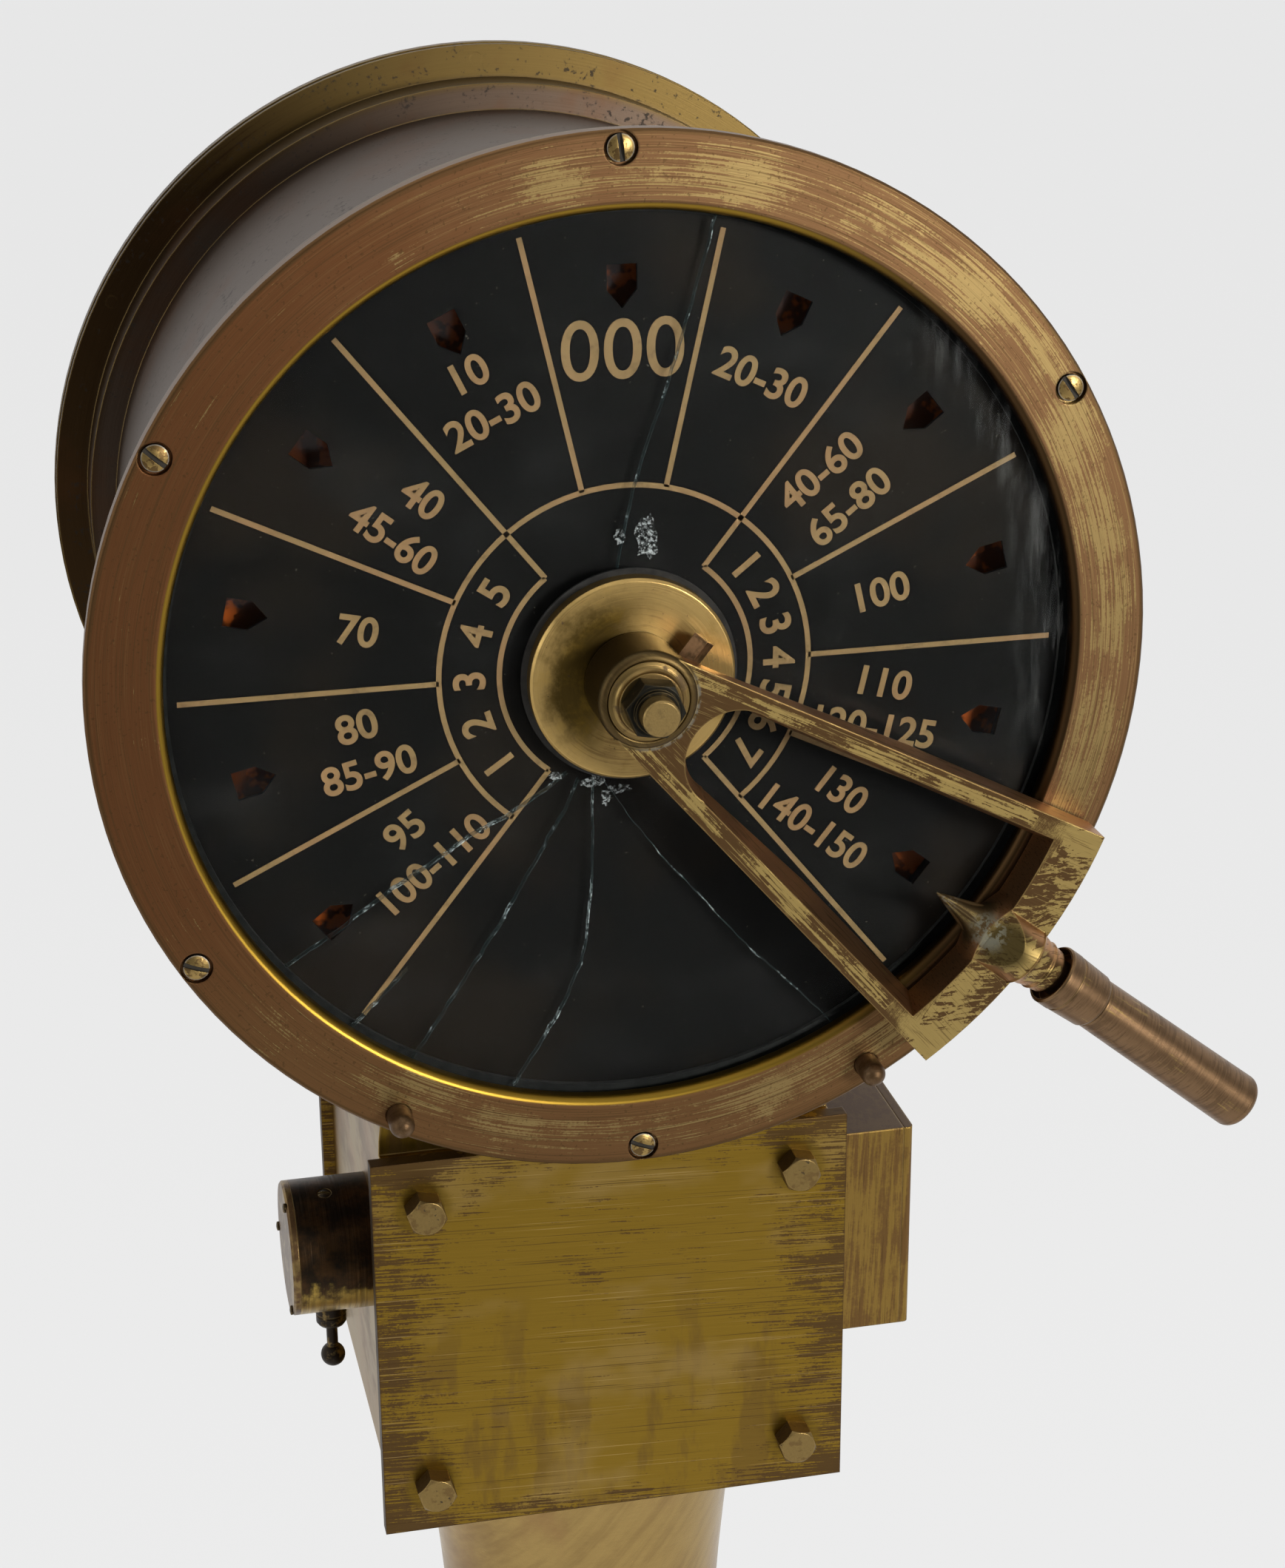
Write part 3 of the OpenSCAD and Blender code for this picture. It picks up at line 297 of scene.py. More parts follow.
class Finish(Wiring):
    """One material, built up in coats over a base colour."""

    def __init__(self, title, colour, rough=0.4, metallic=1.0, **constants):
        self.material = bpy.data.materials.new(title)
        self.material.use_nodes = True
        super().__init__(self.material.node_tree)
        self.tree.nodes.clear()
        self.output = self.tree.nodes.new("ShaderNodeOutputMaterial")
        self.shader = self.tree.nodes.new("ShaderNodeBsdfPrincipled")
        for name, value in constants.items():
            self.shader.inputs[name.replace("_", " ")].default_value = value
        self.place = self.add("ShaderNodeTexCoord", out="Object")
        self.colour = colour
        self.rough = rough
        self.metallic = metallic
        self.alpha = None
        self.height = None
        self.bump_depth = 0.0001

    def blend(self, share, low, high):
        """Mixes two colours."""
        return self.add("ShaderNodeMix", {0: share, 6: low, 7: high}, out=2, data_type="RGBA")

    def spot(self, centre=(0, 0, 0), turn=(0, 0, 0), size=1):
        """Returns places from a centre, on turned axes, in steps of one size or of one along each axis."""
        steps = size if isinstance(size, tuple) else (size, size, size)
        sockets = {"Vector": self.place, "Location": tuple(centre), "Rotation": turn, "Scale": steps}
        return self.add("ShaderNodeMapping", sockets, vector_type="TEXTURE")

    def polar(self, centre):
        """Returns the place from a centre on three axes, and the distance from its axis along Y."""
        x, y, z = self.parts(self.spot(centre))
        return x, y, z, (x * x + z * z) ** 0.5

    def noise(self, place, scale=1.0, detail=4.0, rough=0.55, out=0):
        """Returns a noise value between 0 and 1, about one feature to each step of the place."""
        sockets = {"Vector": place, "Scale": scale, "Detail": detail, "Roughness": rough}
        return self.add("ShaderNodeTexNoise", sockets, out=out)

    def mottle(self, size, detail=4.0, rough=0.55, out=0):
        """Returns a noise with blotches of one size, the same in all directions."""
        return self.noise(self.spot(size=size), detail=detail, rough=rough, out=out)

    def rings(self, centre, radius, length, width):
        """Returns places in which a noise runs as scratches round an axis along Y."""
        x, y, z, r = self.polar(centre)
        turn = radius / length
        return self.add("ShaderNodeCombineXYZ", (x / r * turn, (r + y) / width, z / r * turn))

    def near(self, point, inner, outer):
        """Returns 1 within the inner distance of a point and 0 past the outer one."""
        ends = (self.place, tuple(point))
        away = self.add("ShaderNodeVectorMath", ends, out="Value", operation="DISTANCE")
        return away.over(outer, inner)

    def facing(self, axis):
        """Returns how much the surface faces along an axis, from -1 to 1."""
        normal = self.add("ShaderNodeTexCoord", out="Normal")
        return self.parts(normal)[axis]

    def rounded(self, radius):
        """Returns the surface's normal with its sharp edges rounded in the light."""
        return self.add("ShaderNodeBevel", {"Radius": radius}, samples=BEVEL_SAMPLES)

    def edges(self, radius):
        """Returns 1 on sharp edges and 0 on the rest; the lighter coats laid with it are edge wear together
        with painted edge highlights.
        """
        flat_way = self.add("ShaderNodeNewGeometry", out="Normal")
        ways = (self.rounded(radius), flat_way)
        match = self.add("ShaderNodeVectorMath", ways, out="Value", operation="DOT_PRODUCT")
        return match.over(0.985, 0.9)

    def patchy(self, place, share, patch=0.05, crisp=0.03, mix=0.4, dots=0.0):
        """Returns a crisp mask that covers about this share, streaked by place and gathered in patches."""
        dot_size = 0.0009
        streak = self.noise(place, detail=5, rough=0.62)
        level = streak * (1 - mix) + self.mottle(patch, rough=0.65) * mix
        if dots:
            level = level + (self.mottle(dot_size, detail=2) - 0.5) * dots
        middle = 0.5 - (share - 0.5) * NOISE_SPREAD
        return (level - middle).over(-crisp, crisp)

    def coat(self, mask, colour, rough=None, metallic=None):
        """Lays a colour over the surface where a mask is 1, with its own roughness and metal."""
        self.colour = self.blend(mask, self.colour, colour)
        if rough is not None:
            self.rough = self.rough + (rough - self.rough) * mask
        if metallic is not None:
            self.metallic = self.metallic + (metallic - self.metallic) * mask

    def grain(self, place, amount):
        """Makes the colour lighter and darker along a grain, and roughens the surface with it."""
        fine = self.noise(place, detail=3, rough=0.7)
        self.colour = self.dim(self.colour, (fine - 0.5) * (2 * amount) + 1)
        self.rough = self.rough + (fine - 0.5) * (0.5 * amount)
        self.height = fine
        self.bump_depth = 0.00006

    def done(self, soft=None):
        """Joins the coats to the shader, softens its edges by a radius and returns the material."""
        self.feed(self.shader.inputs["Base Color"], self.colour)
        self.feed(self.shader.inputs["Roughness"], self.rough)
        self.feed(self.shader.inputs["Metallic"], self.metallic)
        if self.alpha is not None:
            self.feed(self.shader.inputs["Alpha"], self.alpha)
        normal = self.rounded(soft) if soft else None
        if self.height is not None:
            sockets = {"Strength": 0.6, "Distance": self.bump_depth, "Height": self.height}
            if normal is not None:
                sockets["Normal"] = normal
            normal = self.add("ShaderNodeBump", sockets)
        if normal is not None:
            self.feed(self.shader.inputs["Normal"], normal)
        self.tree.links.new(self.shader.outputs[0], self.output.inputs["Surface"])
        return self.material


def shade(colour, factor):
    """Returns a plain colour made darker or lighter."""
    return tuple(min(1.0, value * factor) for value in colour)


def dress(material, *nodes):
    """Gives CAD nodes a material."""
    for name in nodes:
        for place in frame["nodes"][name].material_slots:
            place.material = material


def colours():
    """Returns the colours that the user may change."""
    return bpy.context.scene.telegraph_colours


def sizes():
    """Returns the sizes that the user may change."""
    return bpy.context.scene.telegraph_sizes


# Finishes of the brass parts

def bezel_finish():
    """Bezel ring: reddish brown on the left, pinkish brown with gold scratches to the right and top, partly
    wear and partly a painted lighter side; a gold lip with a painted highlight; painted shade on the outer
    edge.
    """
    tint = colours()
    scratch_gold = (0.31, 0.215, 0.085)
    fine_gold = (0.3, 0.205, 0.08)
    brass = Finish("bezel_brass", tint.red, rough=0.46)
    x, y, z, r = brass.polar(HEAD)
    cloud = brass.mottle(0.05, detail=5, rough=0.65)
    # Partly painted light: the right and top of the ring are made pinker and more scratched, standing partly
    # for real wear and partly for the lighter side of the ring
    worn_and_lit = ((x + z * 0.4) / r + (cloud - 0.5) * 1.4).over(-0.5, 0.55)
    low = z.over(-0.06, -0.14)
    brass.coat(worn_and_lit, shade(tint.pink, 0.66), rough=0.48)
    brass.coat(low * 0.6, shade(tint.brown, 1.35))
    width = BEZEL_R - WINDOW_R
    band = abs(r - (WINDOW_R + BEZEL_R) / 2).over(width * 0.46, width * 0.1)
    around = brass.rings(HEAD, BEZEL_R, 0.06, 0.0008)
    share = worn_and_lit.larger(low * 0.75) * (band * 0.3 + 0.22) + 0.03
    scratched = brass.patchy(around, share, patch=0.035, crisp=0.014, mix=0.42, dots=0.12)
    brass.coat(scratched, scratch_gold, rough=0.42)
    fine = brass.noise(brass.rings(HEAD, BEZEL_R, 0.07, 0.0005), detail=2, rough=0.7)
    brass.coat(fine.over(0.6, 0.64) * (worn_and_lit * 0.45 + 0.12), fine_gold, rough=0.42)
    brass.coat(fine.over(0.43, 0.38) * 0.6, shade(tint.brown, 0.75), rough=0.5)
    pits = brass.mottle(0.0014, detail=2)
    brass.coat(pits.over(0.64, 0.68) * 0.5, shade(tint.brown, 0.6), rough=0.5)
    # Painted highlight: the lip is dark brown, turning olive gold on its left, top and bottom where it
    # catches the light
    lip = r.over(WINDOW_R + 0.003, WINDOW_R + 0.0022)
    lip_highlight_side = ((abs(z) * 0.5 - x * 0.9) / r).over(-0.35, 0.35)
    brass.coat(lip, shade(tint.brown, 0.45), rough=0.36)
    brass.coat(lip * lip_highlight_side, shade(tint.olive, 1.05), rough=0.34)
    # Painted shade: a brown band on the outer edge stands for the shading of a rounded edge
    outer_edge_shade = r.over(BEZEL_R - 0.0022, BEZEL_R - 0.0012)
    brass.coat(outer_edge_shade * 0.8, shade(tint.brown, 0.8), rough=0.4)
    brass.grain(brass.rings(HEAD, BEZEL_R, 0.03, 0.0005), amount=0.14)
    return brass.done(soft=0.0008)


def plate_finish():
    """Cover plates: saturated gold, thin brown dashes that gather at the edges, soft upright stains."""
    tint = colours()
    slant = (0, radians(4), 0)
    bolt_inset = 0.0075
    bolt_back = 0.008
    brass = Finish("plate_brass", tint.olive, rough=0.4)
    half = size_of("front_cover_plate") / 2
    x, y, z = brass.parts(brass.spot(centre_of("front_cover_plate")))
    stain = brass.noise(brass.spot(size=(0.014, 0.03, 0.05)), rough=0.6)
    brass.coat(stain.over(0.5, 0.62) * z.over(0.03, -0.02) * 0.4, shade(tint.brown, 0.95), rough=0.46)
    pale = brass.noise(brass.spot(size=(0.05, 0.05, 0.035)), detail=3)
    brass.coat(pale.over(0.52, 0.72) * 0.5, shade(tint.gold, 0.8), rough=0.4)
    edge = abs(x).over(0.5 * half.x, half.x) + abs(z).over(0.8 * half.z, half.z) * 0.8
    along = brass.spot(turn=slant, size=(0.022, 0.01, 0.0007))
    dashes = brass.patchy(along, edge * 0.4 + 0.14, patch=0.02, crisp=0.012, mix=0.35, dots=0.14)
    brass.coat(dashes * 0.9, shade(tint.brown, 0.75), rough=0.5)
    long_lines = brass.noise(brass.spot(turn=(0, radians(3), 0), size=(0.09, 0.01, 0.0006)), detail=2)
    brass.coat(long_lines.over(0.36, 0.32) * 0.7, shade(tint.brown, 0.6), rough=0.5)
    brass.coat(long_lines.over(0.66, 0.7) * 0.5, shade(tint.gold, 1.1), rough=0.34)
    low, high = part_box("front_cover_bolts")
    for bolt_x in (low.x + bolt_inset, high.x - bolt_inset):
        for bolt_z in (low.z + bolt_inset, high.z - bolt_inset):
            halo = brass.near((bolt_x, low.y + bolt_back, bolt_z), 0.009, 0.013)
            brass.coat(halo * 0.7, shade(tint.olive, 0.75), rough=0.34)
    brass.coat(brass.edges(0.0012) * 0.8, shade(tint.brown, 0.7), rough=0.4)
    brass.coat(abs(brass.facing(0)).over(0.5, 0.9) * 0.9, shade(tint.brown, 0.25), rough=0.5)
    brass.grain(brass.spot(turn=slant, size=(0.03, 0.01, 0.0005)), amount=0.14)
    return brass.done(soft=0.0008)


def casing_finish():
    """Casing and its neck: satin brass with upright brown wear and pinkish clouds."""
    tint = colours()
    brass = Finish("casing_brass", shade(tint.olive, 0.85), rough=0.34)
    upright = brass.spot(size=(0.004, 0.05, 0.02))
    brass.coat(brass.patchy(upright, 0.4, patch=0.07, crisp=0.06) * 0.7, shade(tint.brown, 0.8), rough=0.44)
    cloud = brass.noise(brass.spot(size=(0.08, 0.08, 0.05)))
    brass.coat(cloud.over(0.48, 0.66) * 0.5, tint.pink, rough=0.4)
    # Lighter edges: edge wear and a painted edge highlight
    brass.coat(brass.edges(0.0015) * 0.6, shade(tint.gold, 1.1), rough=0.3)
    brass.grain(brass.spot(size=(0.002, 0.03, 0.03)), amount=0.14)
    return brass.done(soft=0.001)


def drum_finish(name, share):
    """Drum and its stepped ends: dark brown with a painted olive sheen in turned streaks on top that leaves
    the left nearly black, and dark spots of dirt.
    """
    tint = colours()
    olive_top_sheen = (0.13, 0.086, 0.028)
    dull_brown = (0.09, 0.064, 0.047)
    brass = Finish(name, shade(tint.brown, 0.4), rough=0.4)
    x, y, z, r = brass.polar(HEAD)
    # Painted light: where the drum faces up and to the right it takes a painted olive sheen; the left stays
    # nearly black
    lit = ((z + x * 0.4) / r).over(0.3, 1.02)
    step = r.over(BEZEL_R - 0.02, BEZEL_R - 0.014)
    turned = brass.rings(HEAD, BEZEL_R, 0.08, 0.0014)
    rubbed = brass.patchy(turned, lit * 0.75 + share, patch=0.03, crisp=0.06, dots=0.1)
    brass.coat(rubbed * lit * (step * 0.9 + 0.1), olive_top_sheen, rough=0.44)
    brass.coat((1 - step) * 0.9, dull_brown, rough=0.42)
    cloud = brass.mottle(0.04, detail=5)
    brass.coat(cloud.over(0.5, 0.66) * 0.35, shade(tint.red, 0.6), rough=0.45)
    grime = brass.patchy(brass.spot(size=0.002), 0.2, patch=0.014)
    brass.coat(grime * 0.7, shade(tint.dark, 0.8), rough=0.6, metallic=0.5)
    # Lighter edges: edge wear and a painted edge highlight
    brass.coat(brass.edges(0.0011) * 0.6, shade(tint.gold, 0.5), rough=0.3)
    brass.grain(brass.rings(HEAD, BEZEL_R, 0.04, 0.0006), amount=0.14)
    return brass.done(soft=0.0008)


def turned_finish(name, colour, share, radius, dark_share):
    """Round parts turned about the head's axis, with rings of brown scratches and dark spots."""
    brown = colours().brown
    brass = Finish(name, colour, rough=0.3)
    scratched = brass.patchy(brass.rings(HEAD, radius, 0.03, 0.0009), share, patch=0.02, crisp=0.05)
    brass.coat(scratched * 0.4, brown, rough=0.42)
    brass.grain(brass.rings(HEAD, radius, 0.02, 0.00035), amount=0.3)
    spots = brass.patchy(brass.spot(size=0.006), dark_share, patch=0.02)
    brass.coat(spots * 0.7, shade(brown, 0.4), rough=0.6, metallic=0.5)
    return brass.done(soft=0.0006)


def hub_finish():
    """Hub disc: satin gold with round scratches, and a painted shadow of the boss in dark brown on the disc
    to the left of the boss.
    """
    tint = colours()
    brass = Finish("hub_brass", shade(tint.gold, 1.3), rough=0.34)
    x, y, z, r = brass.polar(HEAD)
    around = brass.rings(HEAD, 0.03, 0.03, 0.0008)
    scratched = brass.patchy(around, 0.3, patch=0.02, crisp=0.05)
    brass.coat(scratched * 0.5, shade(tint.brown, 1.2), rough=0.42)
    cloud = brass.mottle(0.012, detail=5, rough=0.65)
    # Painted shadow: dark brown on the disc to the left of the boss and near it, where the boss's shadow
    # falls
    side = ((z * 0.3 - x) / r + (cloud - 0.5) * 0.8).over(-0.3, 0.8)
    inner = (r + (cloud - 0.5) * 0.02).over(0.038, 0.026)
    brass.coat(side * inner * 0.92, shade(tint.olive, 0.22), rough=0.42)
    brass.coat(cloud.over(0.5, 0.7) * 0.35, shade(tint.olive, 1.1))
    specks = brass.patchy(brass.spot(size=0.0016), 0.06, patch=0.01, crisp=0.02)
    brass.coat(specks * 0.8, shade(tint.brown, 0.4), rough=0.6, metallic=0.6)
    # Lighter edges: edge wear and a painted edge highlight
    brass.coat(brass.edges(0.0008) * 0.5, shade(tint.gold, 1.3), rough=0.28)
    brass.grain(around, amount=0.2)
    return brass.done(soft=0.0006)


def on_lever(out, back):
    """Returns the place on the lever's middle line, this far out from the axis and behind the bezel."""
    return HEAD + Matrix.Rotation(LEVER_TURN, 3, "Y") @ Vector((out, back, 0))


def lever_finish():
    """Lever: gold scratches over brown, pinkish slanted walls lightened with painted light, dark and whitish
    verdigris at the spike.
    """
    tint = colours()
    arm_slope = 0.196
    arm_middle = 0.0132
    boss_r = 0.0181
    seam_r = 0.0178
    rubbed_gold = (0.42, 0.3, 0.105)
    fine_gold = (0.42, 0.3, 0.11)
    boss_brown = (0.1, 0.066, 0.026)
    boss_shadow = (0.06, 0.045, 0.018)
    seam_dust = (0.2, 0.19, 0.15)
    spike_brown = (0.05, 0.042, 0.018)
    facet_brown = (0.06, 0.042, 0.012)
    crest_green = (0.19, 0.19, 0.14)
    tip_grey = (0.25, 0.24, 0.19)
    brass = Finish("lever_brass", shade(tint.brown, 0.8), rough=0.44)
    u, y, v = brass.parts(brass.spot(HEAD, turn=(0, LEVER_TURN, 0)))
    across = abs(v) - u * arm_slope
    run = brass.add("ShaderNodeCombineXYZ", ((u + abs(v) * arm_slope) / 0.03, y / 0.006, across / 0.0009))
    bar = u.over(0.15, 0.165)
    bent = brass.dim(brass.mottle(0.02, detail=1, out=1), 5.0)
    dashes = brass.spot(size=(0.009, 0.009, 0.0013))
    loose = brass.add("ShaderNodeVectorMath", (dashes, bent), operation="ADD")
    place = brass.blend(bar, run, loose)
    front = brass.facing(1).over(-0.62, -0.86)
    # Painted light: the slanted walls are a lighter pinkish brown than the front faces, standing for the
    # light on them; the pinkish tone is the brass's own
    brass.coat(1 - front, shade(tint.pink, 1.5), rough=0.42)
    middle = abs(across - arm_middle).over(0.0052, 0.0012)
    share = front * (middle * 0.3 + bar * 0.32 + 0.12) + 0.08
    rubbed = brass.patchy(place, share, patch=0.02, crisp=0.012, mix=0.45, dots=0.12)
    brass.coat(rubbed, rubbed_gold, rough=0.4)
    fine = brass.noise(run, scale=1.6, detail=2, rough=0.7)
    brass.coat(fine.over(0.62, 0.66) * front * 0.7, fine_gold, rough=0.38)
    brass.coat(fine.over(0.42, 0.37) * 0.6, shade(tint.brown, 0.7), rough=0.5)
    reach = brass.polar(HEAD)[-1]
    boss = reach.over(boss_r + 0.0007, boss_r)
    brass.coat(boss * (front * 0.6 + 0.35), boss_brown, rough=0.42)
    brass.coat(boss * (1 - front) * 0.9, boss_shadow, rough=0.45)
    dirt = brass.patchy(brass.spot(size=0.0016), 0.5, patch=0.006)
    seam = abs(reach - seam_r).over(0.0014, 0.0004) * u.over(0.004, 0.014) * front
    brass.coat(seam * dirt * 0.6, seam_dust, rough=0.7, metallic=0.3)
    brass.grain(run, amount=0.16)
    # Lighter edges: edge wear and a painted edge highlight
    brass.coat(brass.edges(0.001) * 0.5, shade(tint.gold, 1.1), rough=0.3)
    spike = brass.near(on_lever(0.152, -0.0095), 0.012, 0.018) * (1 - front * 0.4)
    brass.coat(spike * 0.9, spike_brown, rough=0.46, metallic=0.9)
    facet = brass.near(on_lever(0.172, -0.0215), 0.006, 0.0115)
    brass.coat(facet * 0.85, facet_brown, rough=0.42, metallic=0.9)
    crest = brass.near(on_lever(0.165, -0.0175), 0.0035, 0.0095)
    brass.coat(crest * dirt * 0.7, crest_green, rough=0.75, metallic=0.2)
    tip = brass.near(on_lever(0.144, -0.0095), 0.001, 0.01)
    brass.coat(tip * dirt * 0.4, tip_grey, rough=0.7, metallic=0.2)
    return brass.done(soft=0.0008)


def handle_finish():
    """Collar and grip: dark copper brown turned about the handle, rubbed pale where the hand holds it."""
    tint = colours()
    metal = Finish("grip_copper", tint.copper, rough=0.36)

    def handle_spot(along, around):
        """Returns places on the handle's own axes, in steps along and round it."""
        return metal.spot(HEAD, turn=(0, LEVER_TURN, 0), size=(along, around, around))

    turned = metal.patchy(handle_spot(0.0008, 0.012), 0.42, patch=0.016, crisp=0.05, dots=0.1)
    metal.coat(turned * 0.6, shade(tint.copper, 0.5), rough=0.46)
    held = metal.patchy(handle_spot(0.02, 0.0014), 0.2, patch=0.02, dots=0.1)
    metal.coat(held * 0.6, shade(tint.gold, 0.8), rough=0.3)
    # Lighter edges: edge wear and a painted edge highlight
    metal.coat(metal.edges(0.001) * 0.5, shade(tint.gold, 0.9), rough=0.3)
    metal.grain(handle_spot(0.0004, 0.01), amount=0.25)
    return metal.done(soft=0.0005)


def dark_finish(name, colour, rub, rub_share, rough=0.45, size=0.006):
    """Dark patina with the metal rubbed through in small patches, and lighter edges that are partly wear and
    partly painted highlight.
    """
    metal = Finish(name, colour, rough=rough, metallic=0.8)
    small = metal.patchy(metal.spot(size=size), rub_share, patch=3 * size, crisp=0.05)
    metal.coat(small * 0.75, rub, rough=0.34)
    # Lighter edges: edge wear and a painted edge highlight
    metal.coat(metal.edges(0.0008) * 0.7, rub, rough=0.3)
    metal.grain(metal.spot(size=size / 6), amount=0.3)
    return metal.done(soft=0.0005)


def screw_finish():
    """Screws: domed gold heads with brown stains, dark slots and silvery dirt round the rim."""
    tint = colours()
    silvery_dirt = (0.34, 0.33, 0.29)
    rim_back = 0.0007
    slot_back = 0.0011
    soft_step = 0.0002
    brass = Finish("screw_brass", shade(tint.gold, 0.8), rough=0.34)
    stain = brass.patchy(brass.spot(size=0.0025), 0.45, patch=0.006, crisp=0.02)
    brass.coat(stain * 0.8, shade(tint.brown, 0.7), rough=0.45)
    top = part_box("bezel_screws")[0].y
    y = brass.parts(brass.place)[1]
    rim = y.over(top + rim_back, top + rim_back + soft_step)
    brass.coat(rim * 0.7, silvery_dirt, rough=0.5, metallic=0.4)
    brass.coat(brass.facing(1).over(-0.7, -0.3) * 0.8, shade(tint.dark, 0.7), rough=0.6, metallic=0.4)
    slot = y.over(top + slot_back, top + slot_back + soft_step)
    brass.coat(slot * 0.9, shade(tint.dark, 0.5), rough=0.7, metallic=0.3)
    brass.grain(brass.spot(size=(0.0012, 0.0012, 0.0004)), amount=0.2)
    return brass.done(soft=0.0003)


def bolt_finish():
    """Hexagon bolts: mottled gold brown faces with black specks, darker flats."""
    tint = colours()
    brass = Finish("bolt_brass", shade(tint.gold, 0.58), rough=0.38)
    mottled = brass.patchy(brass.spot(size=(0.004, 0.004, 0.003)), 0.4, patch=0.01)
    brass.coat(mottled * 0.5, tint.brown, rough=0.45)
    specks = brass.patchy(brass.spot(size=0.0018), 0.16, patch=0.006, crisp=0.02)
    brass.coat(specks * 0.85, shade(tint.dark, 0.8), rough=0.6, metallic=0.5)
    flats = abs(brass.facing(1)).over(0.8, 0.4)
    brass.coat(flats * 0.75, shade(tint.brown, 0.5), rough=0.5, metallic=0.8)
    # Lighter edges: edge wear and a painted edge highlight
    brass.coat(brass.edges(0.0007) * 0.6, shade(tint.gold, 1.0), rough=0.3)
    brass.grain(brass.spot(size=0.001), amount=0.2)
    return brass.done(soft=0.0005)


def box_finish():
    """Terminal box: orange gold brushed upright with brown between, dark brown on top."""
    tint = colours()
    orange_gold = (0.3, 0.185, 0.046)
    brushed_brown = (0.17, 0.09, 0.034)
    top_brown = (0.085, 0.055, 0.04)
    brass = Finish("box_brass", orange_gold, rough=0.38)
    upright = brass.spot(turn=(0, radians(3), 0), size=(0.0022, 0.004, 0.05))
    brushed = brass.patchy(upright, 0.5, patch=0.03, crisp=0.05, dots=0.1)
    brass.coat(brushed * 0.85, brushed_brown, rough=0.44)
    fine = brass.noise(brass.spot(size=(0.0006, 0.0006, 0.03)), detail=3, rough=0.7)
    brass.coat(fine.over(0.42, 0.36) * 0.6, shade(tint.brown, 0.6), rough=0.5)
    brass.coat(brass.facing(2).over(0.4, 0.8) * 0.85, top_brown, rough=0.46)
    # Lighter edges: edge wear and a painted edge highlight
    brass.coat(brass.edges(0.001) * 0.5, shade(tint.gold, 0.8), rough=0.3)
    brass.grain(brass.spot(size=(0.0006, 0.0006, 0.02)), amount=0.18)
    return brass.done(soft=0.0012)


def column_finish(name, gold):
    """Column and base: glossy gold with slanting brown smears and small stains."""
    tint = colours()
    brass = Finish(name, gold, rough=0.26)
    swirl = brass.mottle(0.06, detail=1, out=1)
    slanting = brass.spot(turn=(0, radians(38), 0), size=(0.006, 0.03, 0.06))
    bent = brass.add("ShaderNodeVectorMath", (slanting, swirl), operation="ADD")
    smears = brass.patchy(bent, 0.42, patch=0.07, crisp=0.13, mix=0.5)
    brass.coat(smears * 0.55, shade(tint.brown, 1.2), rough=0.36)
    cloud = brass.noise(brass.spot(size=(0.05, 0.05, 0.09)), detail=5)
    brass.coat(cloud.over(0.52, 0.68) * 0.4, tint.pink, rough=0.32)
    brass.grain(brass.spot(size=(0.004, 0.004, 0.0008)), amount=0.12)
    return brass.done(soft=0.001)


def switch_finish():
    """Switch housing: nearly black brown turned brass, reddish in places, wiped to gold low down."""
    tint = colours()
    reddish = (0.075, 0.036, 0.012)
    wiped_gold = (0.42, 0.28, 0.06)
    brass = Finish("switch_brass", shade(tint.dark, 0.7), rough=0.4, metallic=0.9)
    z = brass.parts(brass.spot(SWITCH))[2]
    cloud = brass.mottle(0.012, detail=5, rough=0.65)
    brass.coat(cloud.over(0.36, 0.66) * 0.75, reddish, rough=0.36)
    groove = brass.noise(brass.spot(size=(0.0013, 0.03, 0.03)), detail=2)
    low = (z + (cloud - 0.5) * 0.04).over(-0.005, -0.014)
    brass.coat(low * (groove.over(0.4, 0.55) * 0.3 + 0.65), wiped_gold, rough=0.32)
    # Lighter edges: edge wear and a painted edge highlight
    brass.coat(brass.edges(0.0007) * 0.4, shade(tint.gold, 0.5), rough=0.3)
    brass.height = groove
    brass.bump_depth = 0.0002
    return brass.done(soft=0.0005)


# Finishes of the dial, the glass and the inner works

def dial_finish():
    """Black enamel with dust specks, a faint painted reflection haze in mottles and brown clouds."""
    tint = colours()
    aged_brown = (0.017, 0.012, 0.008)
    dust = (0.13, 0.12, 0.095)
    enamel = Finish("dial_black", tint.dial, rough=0.42, metallic=0.0, Specular_IOR_Level=0.05)
    # Painted reflection: lighter mottles of haze on the black enamel
    haze = enamel.mottle(0.05, detail=5, rough=0.6)
    enamel.coat(haze.over(0.5, 0.8) * 0.4, shade(tint.dial, 2.2), rough=0.5)
    brown = enamel.mottle(0.09, detail=3)
    enamel.coat(brown.over(0.5, 0.7) * 0.5, aged_brown)
    specks = enamel.mottle(0.0016, detail=2)
    enamel.coat(specks.over(0.725, 0.78) * 0.6, dust, rough=0.8)
    enamel.height = enamel.mottle(0.003, detail=3)
    return enamel.done()


def paint_finish():
    """Tan paint of the lines and numbers, a little worn and dirty."""
    tint = colours()
    worn_tan = (0.24, 0.13, 0.062)
    paint = Finish("dial_paint", tint.paint, rough=0.55, metallic=0.0, Specular_IOR_Level=0.15)
    dirt = paint.mottle(0.006, detail=6, rough=0.7)
    paint.coat(dirt.over(0.5, 0.7) * 0.6, shade(tint.paint, 0.45))
    wear = paint.mottle(0.04, detail=2)
    paint.coat(wear.over(0.42, 0.65) * 0.5, worn_tan)
    paint.height = dirt
    return paint.done()


